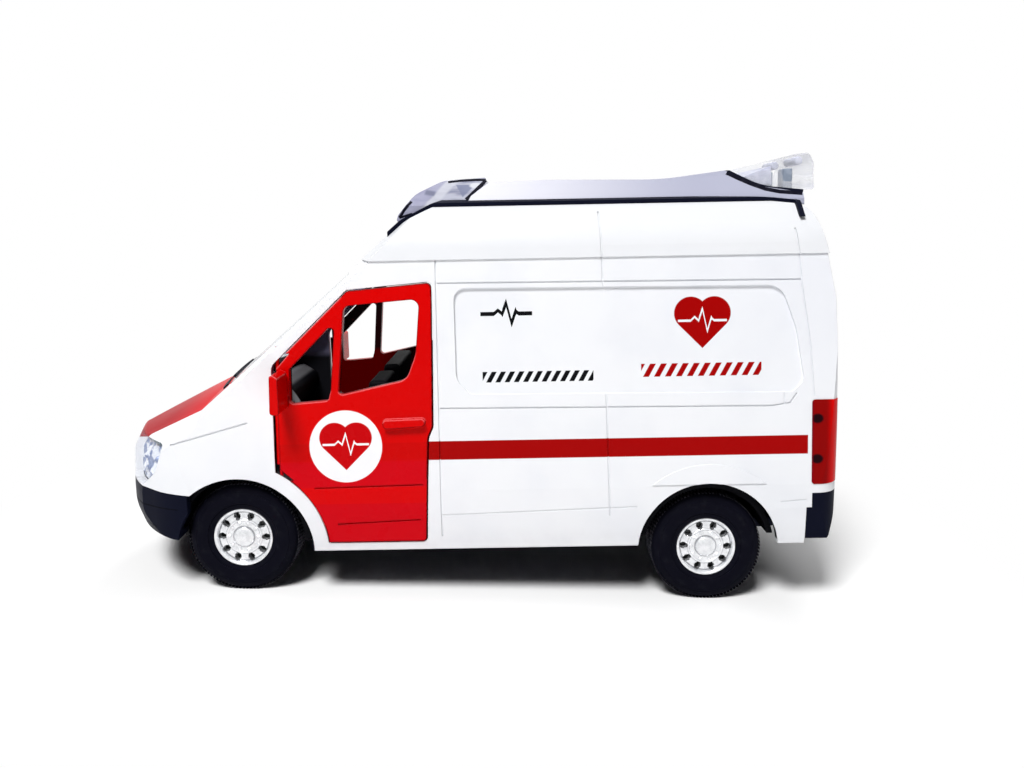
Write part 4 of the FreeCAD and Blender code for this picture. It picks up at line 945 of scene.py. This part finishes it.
def makeWheels(axleName, axle):
    rubber, chrome = makeRubber(f"{axleName}Rubber", axle), makeChrome(f"{axleName}Chrome", axle)
    body = f"{axleName}_wheels"
    for side, label in sides:
        tyre, hubcap = makeTyre(rubber), makeHubcap(chrome)
        tyreNode, rimNode = (f"{axleName}_{kind}_{label.lower()}" for kind in ("tyre", "rim"))
        turn = Matrix.Rotation(0 if side > 0 else math.pi, 4, "Z")
        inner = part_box(tyreNode)[0 if side > 0 else 1].y
        seat = Matrix.Translation((axle.x, inner, axle.z)) @ turn @ Matrix.Scale(mm, 4)
        tyre.transform(seat)
        hubcap.transform(seat)
        addPiece(f"{axleName}Tyre{label}", tyre, body, rubber, [tyreNode])
        addPiece(f"{axleName}Hubcap{label}", hubcap, body, chrome, [rimNode])


makeWheels("front", frontAxle)
makeWheels("rear", rearAxle)
print("wheels made")

# Small parts laid on the CAD nodes. Rings round the nose turn about an upright line at this x.
noseAxis = 4.4


def roundNose(surface, angle, z):
    turn = math.radians(angle)
    ahead = Vector((-math.cos(turn), math.sin(turn), 0))
    return firstHit(surface, Vector((noseAxis, 0, z)) + ahead * 60, -ahead)


def makeTrim(name, colour, tint, roughness, gloss=0.15):
    graph = Graph(name)
    place = graph.toyPlace()
    shade = graph.blend(graph.noise(place, 0.6, 3.0).ramp(0.4, 0.7), colour, tint)
    rough = graph.noise(place, 0.9) * 0.12 + (roughness - 0.06)
    return graph.shaded({"Base Color": shade, "Roughness": rough, "Specular IOR Level": gloss,
                         "Normal": graph.bump(graph.noise(place, 3.0), 0.004)})


# black for trim, and for the painted shade along the front lens's edges
blackTrimAndEdgeShade = makeTrim("blackTrimAndEdgeShade", (0.004, 0.004, 0.010), (0.010, 0.010, 0.018), 0.45, 0.03)
# near black for the bumper's grooves: painted shade
grooveShade = makeTrim("grooveShade", (0.0015, 0.0018, 0.004), (0.003, 0.003, 0.006), 0.6, 0.03)
beaconGrey = makeTrim("beaconGrey", (0.22, 0.26, 0.33), (0.30, 0.34, 0.42), 0.35)
beaconPale = makeTrim("beaconPale", (0.52, 0.54, 0.68), (0.66, 0.67, 0.80), 0.3)

# dark strips laid along the bumper's grooves, as painted shade
bumperLines = {
    "width": 0.24, "rise": 0.02,
    # height, first and last angle round the nose
    "lines": [(20.6, -58, 58), (16.3, -48, -40), (16.3, 40, 48)],
}


def makeBumperLines():
    surface = surfaceOf("front_bumper")
    form = bmesh.new()
    for z, first, last in bumperLines["lines"]:
        hits = [roundNose(surface, angle, z) for angle in range(first, last + 1)]
        layStrip(form, hits, bumperLines["width"], bumperLines["rise"])
    addPiece("bumperLines", closeMesh("bumperLines", form), "van", grooveShade)


headLamp = {
    "angles": (20.0, 57.0, 0.6), "heights": (25.1, 34.7, 0.24),  # first, last and step of the grid
    "bowls": [(31.5, 29.6, 3.4), (44.5, 30.0, 2.9)],  # angle, height, radius
    "depth": 1.95, "bowlDepth": 1.1, "bulb": 0.85, "bowlRim": 0.35, "turnRadius": 33.0,
    "facetSize": 3.2, "facetSlant": 1.4, "facetDepth": 0.22, "wall": 0.25,
}
# painted reflections as light and dark patches on the reflector, and painted shade along its top
reflectorLightAndShade = {"light": (0.84, 0.87, 0.94), "dark": (0.20, 0.25, 0.42), "top": (0.06, 0.11, 0.13)}


def steps(first, last, step):
    return [first + step * i for i in range(int((last - first) / step) + 1)]


def reflectorDepth(angle, z):
    depth, bulb = headLamp["depth"], headLamp["bulb"]
    for bowlAngle, bowlZ, radius in headLamp["bowls"]:
        away = math.hypot(math.radians(angle - bowlAngle) * headLamp["turnRadius"], z - bowlZ)
        if away < bulb:
            return depth + headLamp["bowlDepth"] - math.sqrt(1 - (away / bulb) ** 2) - 0.3
        if away < radius:
            return depth + headLamp["bowlDepth"] * (1 - (away / radius) ** 2)
        if away < radius + headLamp["bowlRim"]:
            return depth - 0.25
    facet = ((angle + z * headLamp["facetSlant"]) / headLamp["facetSize"]) % 1.0
    return depth + headLamp["facetDepth"] * abs(facet - 0.5)


def makeReflectorFinish():
    graph = Graph("reflector")
    place = graph.toyPlace()
    # painted reflections in patches, and painted shade along the top
    reflectionPatches = graph.noise(place, 0.55, 1.0, (1.0, 1.0, 0.7)).ramp(0.50, 0.54)
    shade = graph.blend(reflectionPatches, reflectorLightAndShade["light"], reflectorLightAndShade["dark"])
    shade = graph.blend(graph.split(place)[2].ramp(33.0, 33.3), shade, reflectorLightAndShade["top"])
    return graph.shaded({"Base Color": shade, "Roughness": reflectionPatches * 0.1 + 0.22, "Metallic": 0.35,
                         "Normal": graph.bump(graph.noise(place, 2.0, 1.0), 0.004)})


def makeReflector(side, label, material):
    surface = surfaceOf(f"head_lamp_{label.lower()}")
    form = bmesh.new()
    grid = {}
    for i, z in enumerate(steps(*headLamp["heights"])):
        axis = Vector((noseAxis, 0, z))
        for j, angle in enumerate(steps(*headLamp["angles"])):
            hit = roundNose(surface, side * angle, z)
            if hit and (hit[0] - axis).length > 25:  # nearer hits are on the lamp's back
                inward = (axis - hit[0]).normalized()
                grid[i, j] = form.verts.new(hit[0] + inward * reflectorDepth(angle, z))
    layGrid(form, grid)
    bmesh.ops.delete(form, geom=[vertex for vertex in form.verts if not vertex.link_faces], context="VERTS")
    bmesh.ops.solidify(form, geom=form.faces[:], thickness=headLamp["wall"])
    mesh = closeMesh("lampReflector", form, smoothAngle=30.0)
    addPiece(f"lampReflector{label}", mesh, "van", material)


# dark strips along the front lens's edges, as painted shade
frontLensEdges = {
    "rise": 0.03,
    # side-view runs of x and z, with the width of the painted shade along the lens's edge
    "runs": [
        ([(52.7, 88.05), (50.5, 88.1), (47.5, 88.0), (44.6, 87.75)], 0.70),  # crown
        ([(52.7, 88.0), (50.9, 86.3), (49.0, 84.45), (47.3, 82.95)], 0.75),  # back
        ([(34.3, 80.3), (35.3, 81.8), (36.9, 83.7)], 0.75),  # tip
        ([(34.3, 80.3), (37.8, 81.35), (41.5, 82.25), (46.5, 82.85)], 0.55),  # lip
    ],
}
lensBand = {  # the black band round the foot of the rear lens
    "rise": 0.05,
    "runs": [([(104.3, 88.6), (106.5, 87.4), (109.0, 86.15), (112.0, 84.95), (114.9, 84.3),
               (119.6, 83.9)], 1.15)],
}


def makeSideStrips(name, look, surface, step):
    form = bmesh.new()
    for run, width in look["runs"]:
        for side, _ in sides:
            layStrip(form, [onSide(surface, side, x, z) for x, z in evenly(run, step)], width, look["rise"])
    addPiece(name, closeMesh(name, form), "van", blackTrimAndEdgeShade)


beacon = {
    "postBox": ((116.1, 84.6), (118.0, 89.2)),
    "posts": [(-15.0, -11.0), (-2.0, 2.0), (11.0, 15.0)],  # y from and to
    "wedge": [(107.8, 87.6), (113.9, 89.9), (114.1, 86.0), (111.4, 85.7)],
    "wedges": [(-13.6, -7.4), (-6.6, -0.4), (0.4, 6.6), (7.4, 13.6)],
    "lampPlace": (120.4, 0.0, 91.0), "lamps": [(-11.8, -4.0), (4.0, 11.8)],
    "lampEnd": [(0.0, 0.3), (0.15, 0.75), (0.5, 0.95)],  # distance from the end, radius
    "postSoft": 0.25, "wedgeSoft": 0.2, "lampSegments": 24,
}


def roundedBar(form, low, high, radius):  # a box between two corners, its edges rounded
    made = bmesh.ops.create_cube(form, size=1.0)["verts"]
    middle, extent = (Vector(low) + Vector(high)) / 2, Vector(high) - Vector(low)
    for vertex in made:
        vertex.co = Vector(vertex.co[k] * extent[k] + middle[k] for k in range(3))
    edges = list({edge for vertex in made for edge in vertex.link_edges})
    bmesh.ops.bevel(form, geom=edges, offset=radius, segments=3, affect="EDGES", profile=0.5)


def prism(form, outline, y1, y2, radius):
    ends = closedTube(form, [[(x, y, z) for x, z in outline] for y in (y1, y2)])
    edges = [edge for face in ends for edge in face.edges]
    bmesh.ops.bevel(form, geom=edges, offset=radius, segments=2, affect="EDGES")


def roundLamp(form, y1, y2):
    centre, ends = Vector(beacon["lampPlace"]), beacon["lampEnd"]
    profile = [(y1 + off, radius) for off, radius in ends] + [(y2 - off, radius) for off, radius in ends[::-1]]
    closedTube(form, [[centre + point for point in circle(radius, y, beacon["lampSegments"])]
                      for y, radius in profile])


def makeBeacon():
    posts, prisms = bmesh.new(), bmesh.new()
    (x1, z1), (x2, z2) = beacon["postBox"]
    for y1, y2 in beacon["posts"]:
        roundedBar(posts, (x1, y1, z1), (x2, y2, z2), beacon["postSoft"])
    for y1, y2 in beacon["wedges"]:
        prism(prisms, beacon["wedge"], y1, y2, beacon["wedgeSoft"])
    for y1, y2 in beacon["lamps"]:
        roundLamp(prisms, y1, y2)
    addPiece("beaconPosts", closeMesh("beaconPosts", posts), "van", beaconGrey)
    addPiece("beaconPrisms", closeMesh("beaconPrisms", prisms), "van", beaconPale)


wipers = {
    # bars from end to end, as y and z seen from the front, then their width and rise
    "arms": ([((-14.0, 46.2), (-3.0, 47.8)), ((2.0, 46.2), (13.0, 47.6))], (0.7, 0.55)),
    "blades": ([((-10.0, 46.7), (4.0, 48.6)), ((6.0, 46.7), (18.5, 48.3))], (0.42, 0.40)),
    "cowl": ([((-19.5, 45.0), (19.5, 45.0))], (1.6, 0.30)),
}


def makeWipers():
    glass, shell = surfaceOf("windscreen"), surfaceOf("body_shell", "windscreen")
    form = bmesh.new()
    for key, surface, step in (("arms", glass, 0.8), ("blades", glass, 0.8), ("cowl", shell, 1.0)):
        bars, size = wipers[key]
        for bar in bars:
            layStrip(form, [onScreen(surface, y, z) for y, z in evenly(bar, step)], *size)
    addPiece("wipers", closeMesh("wipers", form, smoothAngle=25.0), "van", blackTrimAndEdgeShade)


plates = {
    # which way the plate looks, CAD node under it, half width, foot and head
    "frontPlate": (1, "front_bumper", 6.6, 15.0, 18.4),
    "rearPlate": (-1, "rear_bumper", 7.4, 14.6, 18.8),
}
plateLook = {
    "across": 30, "up": 8, "stand": 0.2, "thickness": 0.3, "border": 0.4,
    "white": (0.78, 0.78, 0.79), "grey": (0.66, 0.66, 0.67), "borderColour": (0.01, 0.01, 0.012),
}


def makePlateFinish(name, half, foot, head):
    graph = Graph(name)
    place = graph.toyPlace()
    _, y, z = graph.split(place)
    border = plateLook["border"]
    inner = half - border
    rim = 1.0 - abs(y).ramp(inner + 0.05, inner - 0.05) * z.between(foot + border, head - border)
    mottled = graph.noise(place, 0.5, 3.0).ramp(0.4, 0.7) * 0.4
    base = graph.blend(mottled, plateLook["white"], plateLook["grey"])
    return graph.shaded({"Base Color": graph.blend(rim, base, plateLook["borderColour"]), "Roughness": 0.35,
                         "Specular IOR Level": 0.3, "Normal": graph.bump(rim, 0.05)})


def makePlate(name, way, node, half, foot, head):
    surface = surfaceOf(node)
    form = bmesh.new()
    across, up = plateLook["across"], plateLook["up"]
    grid = {}
    for j in range(up + 1):
        for i in range(across + 1):
            y, z = -half + 2 * half * i / across, foot + (head - foot) * j / up
            hit = firstHit(surface, (-way * 200, y, z), (way, 0, 0))
            grid[j, i] = form.verts.new(hit[0] + Vector((-way * plateLook["stand"], 0, 0)))
    layGrid(form, grid)
    bmesh.ops.recalc_face_normals(form, faces=form.faces)
    if form.faces[0].normal.x * way > 0:
        bmesh.ops.reverse_faces(form, faces=form.faces)
    bmesh.ops.solidify(form, geom=form.faces[:], thickness=plateLook["thickness"])
    material = makePlateFinish(name, half, foot, head)
    addPiece(name, closeMesh(name, form), "van", material)


makeBumperLines()
makeSideStrips("frontLensEdges", frontLensEdges, surfaceOf("light_front_lens"), 0.4)
makeSideStrips("rearLensBand", lensBand, surfaceOf("light_cover", "light_trim", "light_rear_lens"), 0.5)
makeBeacon()
makeWipers()
for plateName, plate in plates.items():
    makePlate(plateName, *plate)
silvered = makeReflectorFinish()
for side, label in sides:
    makeReflector(side, label, silvered)
print("small parts made")
